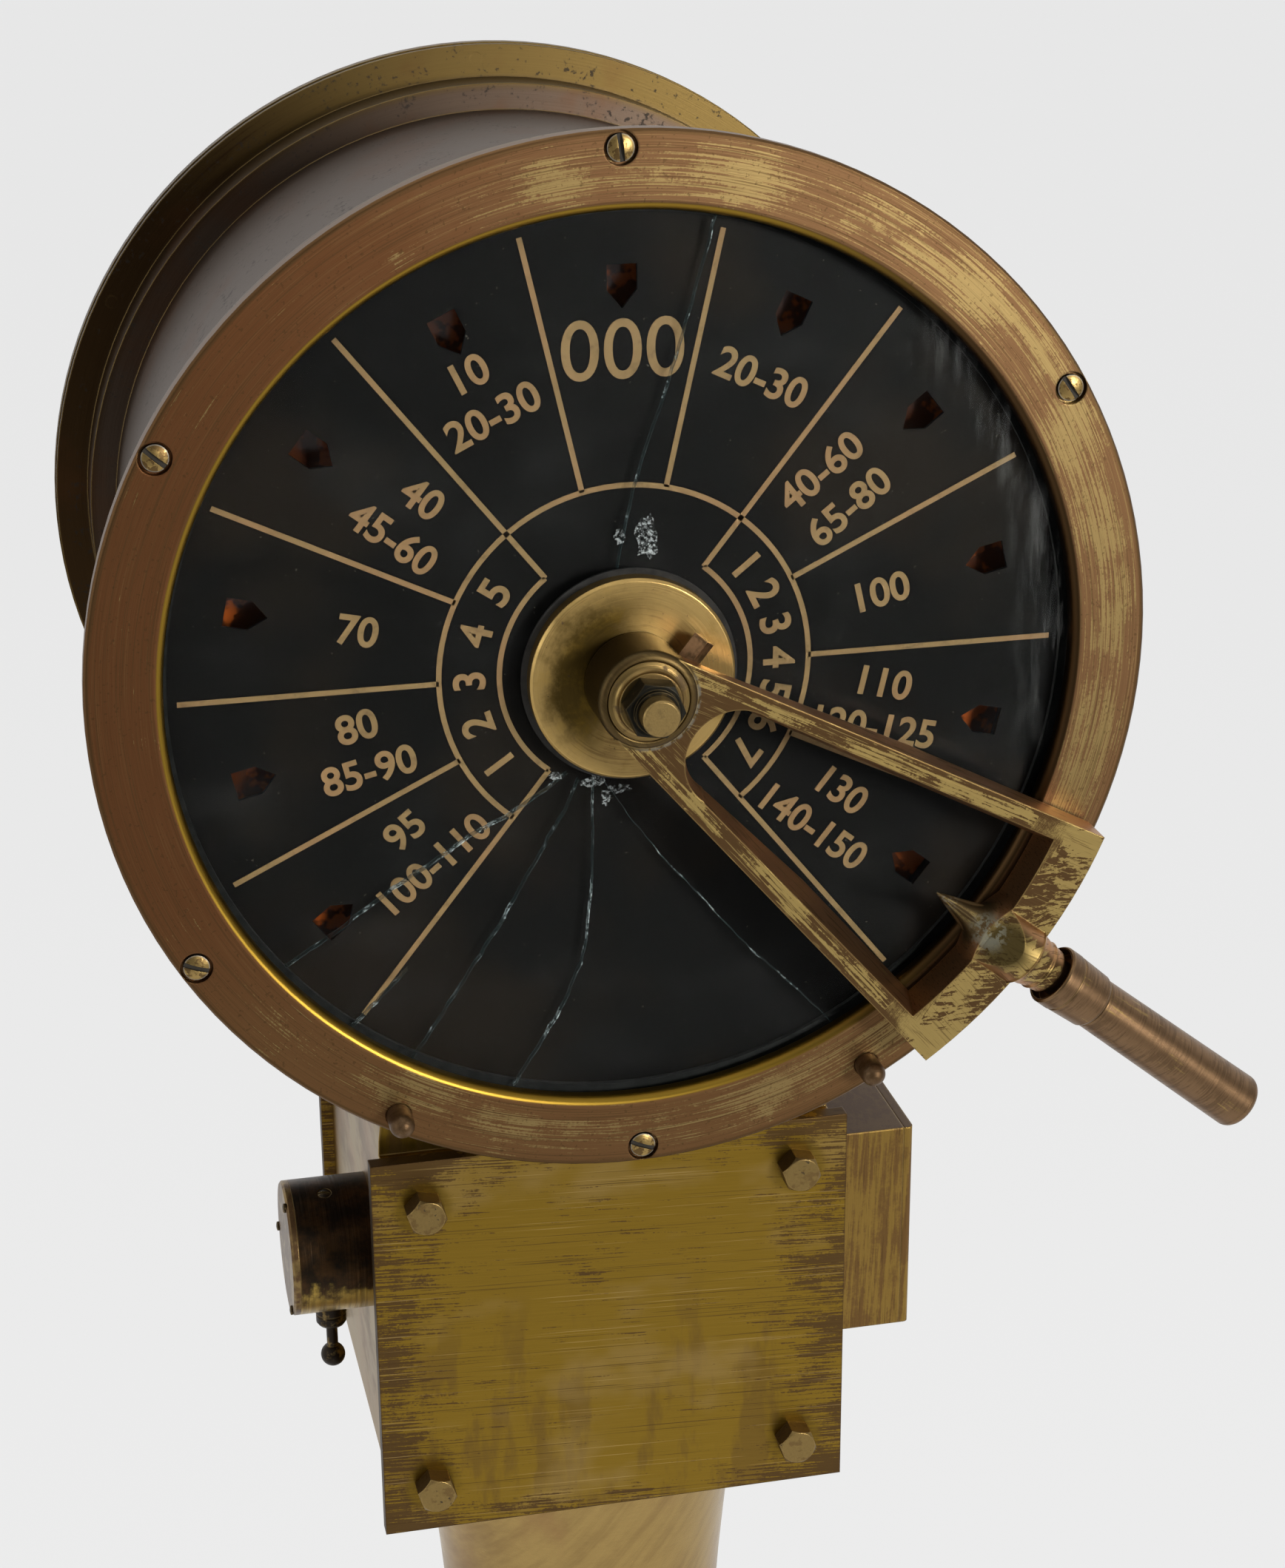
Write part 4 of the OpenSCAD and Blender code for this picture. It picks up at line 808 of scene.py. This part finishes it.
def glass_finish():
    """Old flat glass: clear, with a little greasy haze that is thicker towards the right edge."""
    body_colour = (0.96, 0.97, 0.96)
    grease_colour = (0.75, 0.76, 0.74)
    shadow_colour = (0.94, 0.97, 0.96)
    glass = Finish("clear_glass", body_colour, rough=0.02, metallic=0.0, Transmission_Weight=1.0, IOR=1.08)
    glass.done()
    x, y, z, r = glass.polar(HEAD)
    rim = r.over(WINDOW_R - 0.024, WINDOW_R - 0.004) * x.over(0.07, 0.14) * z.over(-0.06, 0.0)
    smear = glass.noise(glass.spot(size=(0.004, 0.02, 0.03)), rough=0.65)
    dust = glass.noise(glass.spot(size=(0.05, 0.05, 0.03)), detail=5)
    film = rim * smear.over(0.48, 0.72) * 0.05 + dust.over(0.5, 0.8) * 0.005
    grease = glass.add("ShaderNodeBsdfDiffuse", {"Color": grease_colour})
    clear = glass.add("ShaderNodeBsdfTransparent", {"Color": shadow_colour})
    lit = glass.add("ShaderNodeLightPath", out="Is Shadow Ray")
    body = glass.add("ShaderNodeMixShader", (lit, Flow(glass, glass.shader.outputs[0]), clear))
    whole = glass.add("ShaderNodeMixShader", (film, body, grease))
    glass.feed(glass.output.inputs["Surface"], whole)
    return glass.material


def crack_finish():
    """Crack through the glass: a dark teal wall with short pale marks that are painted glints."""
    teal = (0.012, 0.028, 0.028)
    pale_glint = (0.62, 0.72, 0.72)
    crack = Finish("glass_crack", teal, rough=0.15, metallic=0.0, Coat_Weight=0.5)
    # Painted highlight: short pale glints along the crack
    spark = crack.mottle(0.011, rough=0.7)
    fine = crack.mottle(0.0016, detail=2)
    crack.coat(spark.over(0.52, 0.64) * fine.over(0.35, 0.6), pale_glint, rough=0.4)
    crack.alpha = spark.over(0.4, 0.62) * 0.45 + 0.3
    return crack.done()


def chip_finish():
    """Splintered chips of glass: whitish and broken."""
    grey = (0.45, 0.5, 0.5)
    white = (0.75, 0.8, 0.8)
    chip = Finish("glass_chip", grey, rough=0.3, metallic=0.0, Coat_Weight=0.5)
    flake = chip.mottle(0.0014, detail=3, rough=0.7)
    chip.coat(flake.over(0.45, 0.6), white, rough=0.5)
    chip.alpha = flake.over(0.42, 0.66) * 0.45
    return chip.done()


def filter_finish():
    """Orange filter, darker in blotches."""
    tint = colours()
    orange = Finish("orange_filter", tint.filter, rough=0.24, metallic=0.0, Coat_Weight=0.4)
    blotch = orange.mottle(0.01, detail=3)
    orange.coat(blotch.over(0.42, 0.5) * 0.9, shade(tint.filter, 0.12))
    orange.height = blotch
    return orange.done()


def plain_finish(name, colour, rough, metallic, size, amount=0.3):
    """Parts that are seldom seen: one material with mottling and a fine grain."""
    plain = Finish(name, colour, rough=rough, metallic=metallic)
    cloud = plain.mottle(size)
    plain.coat(cloud.over(0.4, 0.66), shade(colour, 0.55), rough=min(0.9, rough + 0.12))
    plain.grain(plain.spot(size=size / 8), amount=amount)
    return plain.done()


# Mesh making

def turn(angle):
    """Turns about the head's axis, anticlockwise as the operator sees it."""
    return Matrix.Rotation(-angle, 4, "Y")


def on_dial(angle, out, depth=0.0):
    """Returns the place on the dial at a turn and a distance from the axis, its X running outwards."""
    face = Vector((HEAD.x, DIAL_Y - depth, HEAD.z))
    return Matrix.Translation(face) @ turn(angle) @ Matrix.Translation((out, 0, 0))


def new_piece(name, mesh, material):
    """Makes a piece from a bmesh, gives it a material and fixes it to the pedestal."""
    data = bpy.data.meshes.new(name)
    mesh.to_mesh(data)
    mesh.free()
    data.materials.append(material)
    piece = bpy.data.objects.new(name, data)
    bpy.context.scene.collection.objects.link(piece)
    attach(piece, "pedestal")


def add_bar(mesh, angle, start, end, width, thick):
    """Adds a flat painted bar that runs outwards on the dial."""
    shape = Matrix.Diagonal((end - start, thick, width, 1))
    bmesh.ops.create_cube(mesh, size=1.0, matrix=on_dial(angle, (start + end) / 2, thick / 2) @ shape)


def add_arc(mesh, first, last, radius, width, thick):
    """Adds a flat painted arc by turning its cross section about the head's axis."""
    corners = ((-width / 2, 0), (width / 2, 0), (width / 2, thick), (-width / 2, thick))
    verts = [mesh.verts.new(on_dial(first, radius + out, depth).translation) for out, depth in corners]
    loop = [mesh.edges.new((verts[i - 1], verts[i])) for i in range(4)]
    steps = round((last - first) / radians(4))
    swept = bmesh.ops.spin(
        mesh, geom=verts + loop, cent=HEAD, axis=(0, 1, 0), angle=first - last, steps=steps)
    end = [part for part in swept["geom_last"] if isinstance(part, bmesh.types.BMEdge)]
    for edges in (loop, end):
        bmesh.ops.edgeloop_fill(mesh, edges=edges)


# A digit is this share of its font's size tall
DIGIT_SHARE = 0.7


def number_mesh(words, height, bold):
    """Returns a flat mesh of plain numbers of a height, centred on its own origin."""
    curve = bpy.data.curves.new("number", "FONT")
    curve.body = words
    curve.align_x = "CENTER"
    curve.offset = bold
    curve.extrude = DIGIT_SHARE / 2 * sizes().paint / height
    curve.resolution_u = 6
    writing = bpy.data.objects.new("number", curve)
    data = bpy.data.meshes.new_from_object(writing)
    bpy.data.objects.remove(writing)
    tall = [vert.co.y for vert in data.vertices]
    wide = [vert.co.x for vert in data.vertices]
    middle = Vector(((max(wide) + min(wide)) / 2, (max(tall) + min(tall)) / 2, 0))
    scale = height / (max(tall) - min(tall))
    data.transform(Matrix.Scale(scale, 4) @ Matrix.Translation(-middle))
    return data


def add_number(mesh, words, height, place, bold=0.022):
    """Adds numbers that stand at a place, reading along its X with their tops along its Z."""
    data = number_mesh(words, height, bold)
    data.transform(place @ Matrix.Rotation(UP, 4, "X"))
    mesh.from_mesh(data)
    bpy.data.meshes.remove(data)


SECTOR = 2 * pi / 14
# Distances from the axis of the numbers at the top, of the orders beside them and of the other orders
TOP_OUT = 0.1147
UPPER_OUT = 0.113
ORDER_OUT = 0.097
# Step between two lines of an order, in heights of its numbers
LINE_STEP = 1.52
# Lines of numbers for each order, by its place counted from the top, right side then left side
ORDERS = {
    1: ("20-30",), 2: ("40-60", "65-80"), 3: ("100",), 4: ("110", "120-125"), 5: ("130", "140-150"),
    -1: ("10", "20-30"), -2: ("40", "45-60"), -3: ("70",), -4: ("80", "85-90"), -5: ("95", "100-110"),
}
# Side bands, as the angle of the middle, the digits and the turn from one digit to the next
BAND_OUT = 0.0562
BANDS = ((0, "1234567", radians(12.9)), (pi, "12345", radians(17.2)))


def order_place(order, line, lines):
    """Returns where one line of an order's numbers stands."""
    angle = UP - order * SECTOR
    drop = ((lines - 1) / 2 - line) * LINE_STEP * sizes().number_height
    depth = sizes().paint / 2
    if abs(order) == 1:
        return on_dial(angle, UPPER_OUT + drop, depth) @ Matrix.Rotation(UP, 4, "Y")
    if order > 0:
        return on_dial(angle, ORDER_OUT, depth) @ Matrix.Translation((0, 0, drop))
    return on_dial(angle, ORDER_OUT, depth) @ Matrix.Rotation(pi, 4, "Y") @ Matrix.Translation((0, 0, drop))


class AddDialLines(bpy.types.Operator):
    """Adds the painted sector lines and arcs of the dial"""

    bl_idname = "telegraph.dial_lines"
    bl_label = "Dial lines"
    bl_options = {"REGISTER", "UNDO"}

    def execute(self, context):
        size = sizes()
        band_half = 2 * SECTOR
        mesh = bmesh.new()
        for step in range(-5, 7):
            angle = UP - (step - 0.5) * SECTOR
            closes_band = abs(abs(sin(angle)) - sin(band_half)) < 0.01
            start = size.hub_ring_radius if closes_band else size.ring_radius
            add_bar(mesh, angle, start, size.line_end, size.line_width, size.paint)
        add_arc(mesh, -band_half, pi + band_half, size.ring_radius, size.line_width, size.paint)
        for side in (0, pi):
            first, last = side - band_half, side + band_half
            add_arc(mesh, first, last, size.hub_ring_radius, size.line_width, size.paint)
        bmesh.ops.recalc_face_normals(mesh, faces=mesh.faces)
        new_piece("dial_lines", mesh, paint_finish())
        return {"FINISHED"}


class AddDialNumbers(bpy.types.Operator):
    """Adds plain numbers in place of the orders of the dial"""

    bl_idname = "telegraph.dial_numbers"
    bl_label = "Dial numbers"
    bl_options = {"REGISTER", "UNDO"}

    def execute(self, context):
        size = sizes()
        mesh = bmesh.new()
        upright = Matrix.Rotation(UP, 4, "Y")
        depth = size.paint / 2
        add_number(mesh, "000", size.top_height, on_dial(UP, TOP_OUT, depth) @ upright, bold=0.002)
        for order, lines in ORDERS.items():
            for line, words in enumerate(lines):
                add_number(mesh, words, size.number_height, order_place(order, line, len(lines)))
        for side, digits, step in BANDS:
            for place, digit in enumerate(digits):
                angle = side + ((len(digits) - 1) / 2 - place) * step
                add_number(mesh, digit, size.band_height, on_dial(angle, BAND_OUT, depth) @ upright)
        material = bpy.data.materials["dial_paint"]
        new_piece("dial_numbers", mesh, material)
        return {"FINISHED"}


# Cracks as points across and up from the head's axis, in millimetres
CRACKS = (
    ((-4, 36), (2, 66), (14, 100), (21.5, 123.5), (31, 157), (33, 163)),
    ((-22, -35), (-30, -41), (-43, -49), (-58, -56), (-70, -64), (-87, -74), (-107, -88), (-128, -101)),
    ((-18, -37), (-24, -50), (-30, -60), (-40, -77), (-48, -91), (-60, -109), (-72, -127), (-83, -143)),
    ((-13.6, -37), (-13.6, -55), (-14, -73), (-15.4, -89), (-17.7, -107), (-25, -125), (-34, -140),
     (-46, -158)),
    ((-10, -39), (-1, -53), (13, -73), (28, -90), (43, -109), (58, -124), (78, -146)),
    ((-82, -105), (-89, -112), (-100, -123), (-107, -129)),
)
# Chips as places across and up, and half sizes across and up, in millimetres
CHIPS = (
    (6.4, 49.5, 4.6, 8.5), (-3, 50.2, 2.2, 3), (-14, -39.5, 5, 2.4), (-4, -43, 4.5, 2), (-27, -36, 3, 1.6),
    (8, 44, 3, 1.6), (-9, -46, 2, 3.6),
)


def on_glass(x, z, deep):
    """Returns the place at a depth in the glass, from millimetres across and up from the axis."""
    return Vector((HEAD.x + x / 1000, GLASS_FRONT + deep, HEAD.z + z / 1000))


class AddGlassCracks(bpy.types.Operator):
    """Adds the cracks that run from the hub to the edge of the glass"""

    bl_idname = "telegraph.glass_cracks"
    bl_label = "Glass cracks"
    bl_options = {"REGISTER", "UNDO"}

    def execute(self, context):
        chance = Random(7)
        thick = GLASS_BACK - GLASS_FRONT
        jitter = 0.0003
        width = 0.0003
        mesh = bmesh.new()
        for points in CRACKS:
            for old in (*mesh.verts, *mesh.edges):
                old.tag = True
            verts = [mesh.verts.new(on_glass(x, z, 0.1 * thick)) for x, z in points]
            chain = [mesh.edges.new(pair) for pair in zip(verts, verts[1:])]
            bmesh.ops.subdivide_edges(mesh, edges=chain, cuts=5)
            fresh = [vert for vert in mesh.verts if not vert.tag]
            line = [edge for edge in mesh.edges if not edge.tag]
            bmesh.ops.smooth_vert(mesh, verts=fresh, factor=0.5, use_axis_x=True, use_axis_z=True)
            for vert in fresh:
                vert.co += Vector((chance.uniform(-1, 1), 0, chance.uniform(-1, 1))) * jitter
            wall = extrude_by(mesh, line, (0, 0.8 * thick, 0))
            aside = Vector((points[0][1] - points[-1][1], 0, points[-1][0] - points[0][0])).normalized()
            extrude_by(mesh, line, aside * width)
            extrude_by(mesh, wall, aside * width)
        new_piece("glass_cracks", mesh, crack_finish())
        return {"FINISHED"}


def extrude_by(mesh, line, step):
    """Draws a line of edges sideways into a strip and returns the strip's far edges."""
    made = bmesh.ops.extrude_edge_only(mesh, edges=line)["geom"]
    moved = [part for part in made if isinstance(part, bmesh.types.BMVert)]
    bmesh.ops.translate(mesh, verts=moved, vec=step)
    far = set(moved)
    return [part for part in made if isinstance(part, bmesh.types.BMEdge) and far.issuperset(part.verts)]


class AddGlassChips(bpy.types.Operator):
    """Adds the splintered chips round the hub"""

    bl_idname = "telegraph.glass_chips"
    bl_label = "Glass chips"
    bl_options = {"REGISTER", "UNDO"}

    def execute(self, context):
        chance = Random(3)
        depth = 0.0004
        mesh = bmesh.new()
        for x, z, wide, tall in CHIPS:
            place = on_glass(x, z, depth)
            shape = Matrix.Translation(place) @ Matrix.Diagonal((wide / 1000, 1, tall / 1000, 1))
            matrix = shape @ Matrix.Rotation(UP, 4, "X")
            made = bmesh.ops.create_circle(mesh, cap_ends=True, segments=18, radius=1.0, matrix=matrix)
            for vert in made["verts"]:
                vert.co += (vert.co - place) * chance.uniform(-0.35, 0.1)
        new_piece("glass_chips", mesh, chip_finish())
        return {"FINISHED"}


class FinishHead(bpy.types.Operator):
    """Gives the bezels, the drum and the hub disc their brass"""

    bl_idname = "telegraph.finish_head"
    bl_label = "Head finishes"
    bl_options = {"REGISTER", "UNDO"}

    def execute(self, context):
        tint = colours()
        dress(bezel_finish(), "front_bezel")
        dress(drum_finish("drum_brass", 0.45), "drum_shell")
        dress(drum_finish("rear_brass", 0.6), "rear_bezel")
        dress(hub_finish(), "hub_disc")
        dress(turned_finish("rear_cover_brass", shade(tint.gold, 0.7), 0.5, 0.17, 0.15), "rear_cover")
        dress(screw_finish(), "bezel_screws", "rear_bezel_screws", "lid_screws")
        dress(dark_finish("pin_brown", shade(tint.brown, 0.7), shade(tint.copper, 0.8), 0.4), "stop_pins")
        return {"FINISHED"}


class FinishCasing(bpy.types.Operator):
    """Gives the casing, its plates, the column and the base their brass"""

    bl_idname = "telegraph.finish_casing"
    bl_label = "Casing finishes"
    bl_options = {"REGISTER", "UNDO"}

    def execute(self, context):
        tint = colours()
        dress(plate_finish(), "front_cover_plate", "rear_cover_plate")
        dress(casing_finish(), "casing")
        dress(bolt_finish(), "front_cover_bolts", "rear_cover_bolts")
        dress(column_finish("column_brass", shade(tint.gold, 0.85)), "column")
        dress(column_finish("base_brass", shade(tint.olive, 0.9)), "base_flange")
        dress(box_finish(), "terminal_box", "terminal_box_lid")
        dress(dark_finish("gland_brass", shade(tint.gold, 0.6), tint.gold, 0.4), "cable_glands")
        return {"FINISHED"}


class FinishSwitch(bpy.types.Operator):
    """Gives the round switch housing and its lever their dark patina"""

    bl_idname = "telegraph.finish_switch"
    bl_label = "Switch finishes"
    bl_options = {"REGISTER", "UNDO"}

    def execute(self, context):
        tint = colours()
        dress(switch_finish(), "switch_housing")
        cap = dark_finish("cap_brown", shade(tint.brown, 0.8), shade(tint.gold, 0.6), 0.4, rough=0.38)
        dress(cap, "housing_cap")
        toggle = dark_finish("toggle_brown", tint.dark, shade(tint.gold, 0.5), 0.28, size=0.004)
        dress(toggle, "cap_screws", "switch_bush", "toggle_lever")
        return {"FINISHED"}


class FinishLever(bpy.types.Operator):
    """Gives the wishbone lever, its handle, cotter and nut their metals"""

    bl_idname = "telegraph.finish_lever"
    bl_label = "Lever finishes"
    bl_options = {"REGISTER", "UNDO"}

    def execute(self, context):
        tint = colours()
        nut_black = (0.012, 0.011, 0.007)
        dress(lever_finish(), "lever_frame")
        dress(handle_finish(), "grip_collar", "handle_grip")
        cotter = dark_finish("cotter_brown", shade(tint.brown, 0.75), shade(tint.pink, 1.1), 0.5)
        dress(cotter, "lever_cotter")
        dress(dark_finish("nut_dark", nut_black, shade(tint.gold, 0.2), 0.25, size=0.004), "lever_nut")
        dress(turned_finish("washer_brass", shade(tint.gold, 0.62), 0.4, 0.014, 0.2), "lever_washer")
        stud = dark_finish("stud_brass", shade(tint.gold, 0.45), shade(tint.gold, 0.75), 0.6, size=0.004)
        dress(stud, "main_shaft")
        return {"FINISHED"}


class FinishDial(bpy.types.Operator):
    """Gives the dial, the glass, the seals and the lamps their finishes"""

    bl_idname = "telegraph.finish_dial"
    bl_label = "Dial finishes"
    bl_options = {"REGISTER", "UNDO"}

    def execute(self, context):
        dress(dial_finish(), "dial_plate")
        dress(glass_finish(), "front_glass")
        dress(filter_finish(), "window_filter")
        dress(plain_finish("black_housing", (0.012, 0.012, 0.012), 0.6, 0.0, 0.02), "lamp_housing")
        dress(plain_finish("rubber", (0.014, 0.014, 0.013), 0.7, 0.0, 0.006), "glass_seal", "hub_seal")
        dress(plain_finish("lamp_glass", (0.75, 0.66, 0.5), 0.15, 0.0, 0.01, amount=0.1), "lamps")
        return {"FINISHED"}


class FinishWorks(bpy.types.Operator):
    """Gives the inner works their metals and plastics"""

    bl_idname = "telegraph.finish_works"
    bl_label = "Inner works finishes"
    bl_options = {"REGISTER", "UNDO"}

    def execute(self, context):
        brown = plain_finish("brown_plastic", (0.07, 0.03, 0.015), 0.35, 0.0, 0.01)
        dress(brown, "lamp_sockets", "terminal_board", "brush_block", "contact_drum")
        steel = plain_finish("steel", (0.36, 0.35, 0.33), 0.34, 1.0, 0.012)
        dress(steel, "column_bolts", "saddle_bolts", "frame_pillars", "detent_wheel", "contact_shaft",
              "detent_arm", "detent_spring", "bell_hammer")
        bronze = plain_finish("bronze", (0.36, 0.2, 0.09), 0.36, 1.0, 0.01)
        dress(bronze, "front_bush", "rear_bush", "detent_roller")
        brass = plain_finish("works_brass", (0.4, 0.27, 0.09), 0.34, 1.0, 0.02)
        dress(brass, "front_spider", "rear_bridge", "drive_gear", "contact_pinion", "gong", "terminals")
        dress(plain_finish("copper_wire", (0.42, 0.17, 0.08), 0.4, 1.0, 0.004), "striker_coil")
        return {"FINISHED"}


# Stage

def add_light(name, place, aim, size, power, colour=(1, 1, 1)):
    """Adds a large soft light at a place that shines on a point."""
    lamp = bpy.data.lights.new(name, "AREA")
    lamp.shape = "DISK"
    lamp.size = size
    lamp.energy = power
    lamp.color = colour
    holder = bpy.data.objects.new(name, lamp)
    bpy.context.scene.collection.objects.link(holder)
    holder.location = place
    holder.rotation_euler = (Vector(aim) - Vector(place)).to_track_quat("-Z", "Y").to_euler()


def floor_finish(level):
    """Pale floor that keeps shadows but looks even to the camera; the metal sees it end in the dark."""
    floor = Finish("floor_pale", (level, level, level), rough=0.9, metallic=0.0)
    floor.coat(floor.mottle(0.6, detail=2).over(0.3, 0.7), shade((level, level, level), 0.985))
    floor.done()
    y = floor.parts(floor.place)[1]
    mirrored = floor.add("ShaderNodeLightPath", out="Is Glossy Ray")
    dark_front = mirrored * y.over(-0.7, -2.4) * 0.75
    glow = floor.add("ShaderNodeEmission", {"Color": floor.dim((level, level, level), 1 - dark_front)})
    even = floor.seen_directly() * 0.8
    whole = floor.add("ShaderNodeMixShader", (even, Flow(floor, floor.shader.outputs[0]), glow))
    floor.feed(floor.output.inputs["Surface"], whole)
    return floor.material


def set_room(level, strength):
    """Sets the light of the room: even and pale to the camera, dark behind the camera to the metal."""
    world = bpy.data.worlds.new("studio_room")
    world.use_nodes = True
    bpy.context.scene.world = world
    room = Wiring(world.node_tree)
    back = room.tree.nodes["Background"]
    x, y, z = room.parts(room.add("ShaderNodeTexCoord", out="Generated"))
    mirrored = room.add("ShaderNodeLightPath", out="Is Glossy Ray")
    dark_front = mirrored * y.over(0.15, -0.45) * z.over(0.95, 0.45) * 0.78
    seen = level * (1 - dark_front)
    bright = room.seen_directly() * (seen - strength) + strength
    room.feed(back.inputs["Color"], room.dim((1, 1, 1), bright))


class SetStage(bpy.types.Operator):
    """Adds the floor, the lights and the camera"""

    bl_idname = "telegraph.stage"
    bl_label = "Stage"
    bl_options = {"REGISTER", "UNDO"}

    def execute(self, context):
        scene = context.scene
        stage = scene.telegraph_stage
        mesh = bmesh.new()
        bmesh.ops.create_grid(mesh, x_segments=1, y_segments=1, size=20)
        data = bpy.data.meshes.new("floor")
        mesh.to_mesh(data)
        mesh.free()
        data.materials.append(floor_finish(stage.background))
        floor = bpy.data.objects.new("floor", data)
        scene.collection.objects.link(floor)
        set_room(stage.background, stage.room_light)
        self.place_lights(stage)
        self.place_camera(scene, stage)
        scene.view_settings.view_transform = "Standard"
        return {"FINISHED"}

    def place_lights(self, stage):
        """Puts the key light on the right, a cool fill on the left and a light overhead."""
        warm = (1, 0.985, 0.96)
        cool = (0.97, 0.985, 1)
        aim = HEAD + Vector((0, 0.1, -0.1))
        add_light("key_light", HEAD + Vector((1.15, -1.9, 0.36)), aim, 0.6, stage.key_power, warm)
        add_light("fill_light", aim + Vector((-2.4, -1.2, 0.6)), aim, 1.6, stage.fill_power, cool)
        add_light("top_light", aim + Vector((-0.3, 0.5, 2.4)), aim, 1.6, stage.top_power)

    def place_camera(self, scene, stage):
        """Puts the camera where the photograph was taken from."""
        lens = bpy.data.cameras.new("camera")
        lens.sensor_width = 36
        lens.lens = stage.lens
        lens.shift_x, lens.shift_y = stage.shift
        lens.clip_start = 0.01
        lens.clip_end = 100
        side, rise = stage.azimuth, stage.elevation
        look = Vector((sin(side) * cos(rise), cos(side) * cos(rise), -sin(rise)))
        right = Vector((cos(side), -sin(side), 0))
        above = right.cross(look)
        tilt = Matrix.Rotation(stage.roll, 3, -look)
        right, above = tilt @ right, tilt @ above
        camera = bpy.data.objects.new("camera", lens)
        scene.collection.objects.link(camera)
        axes = Matrix((right, above, -look)).transposed().to_4x4()
        camera.matrix_world = Matrix.Translation(stage.camera_place) @ axes
        scene.camera = camera


STEPS = (
    AddDialLines, AddDialNumbers, AddGlassCracks, AddGlassChips, FinishHead, FinishCasing, FinishSwitch,
    FinishLever, FinishDial, FinishWorks, SetStage,
)


class TelegraphPanel(bpy.types.Panel):
    """Lists the pieces, the finishes and what may be changed"""

    bl_idname = "VIEW3D_PT_telegraph"
    bl_label = "Engine order telegraph"
    bl_space_type = "VIEW_3D"
    bl_region_type = "UI"
    bl_category = "Telegraph"

    def draw(self, context):
        layout = self.layout
        for step in STEPS:
            layout.operator(step.bl_idname)
        for group in SETTINGS:
            settings = getattr(context.scene, group)
            box = layout.box()
            for name in settings.bl_rna.properties.keys():
                if name not in ("rna_type", "name"):
                    box.prop(settings, name)


CLASSES = (*SETTINGS.values(), *STEPS, TelegraphPanel)


def register():
    """Registers the settings, the operators and the panel."""
    for kind in CLASSES:
        bpy.utils.register_class(kind)
    for name, group in SETTINGS.items():
        setattr(bpy.types.Scene, name, bpy.props.PointerProperty(type=group))


def unregister():
    """Takes the settings, the operators and the panel out again."""
    for name in SETTINGS:
        delattr(bpy.types.Scene, name)
    for kind in reversed(CLASSES):
        bpy.utils.unregister_class(kind)


def main():
    """Builds the whole scene."""
    register()
    bpy.ops.telegraph.dial_lines()
    bpy.ops.telegraph.dial_numbers()
    bpy.ops.telegraph.glass_cracks()
    bpy.ops.telegraph.glass_chips()
    bpy.ops.telegraph.finish_head()
    bpy.ops.telegraph.finish_casing()
    bpy.ops.telegraph.finish_switch()
    bpy.ops.telegraph.finish_lever()
    bpy.ops.telegraph.finish_dial()
    bpy.ops.telegraph.finish_works()
    bpy.ops.telegraph.stage()


if __name__ == "__main__":
    main()
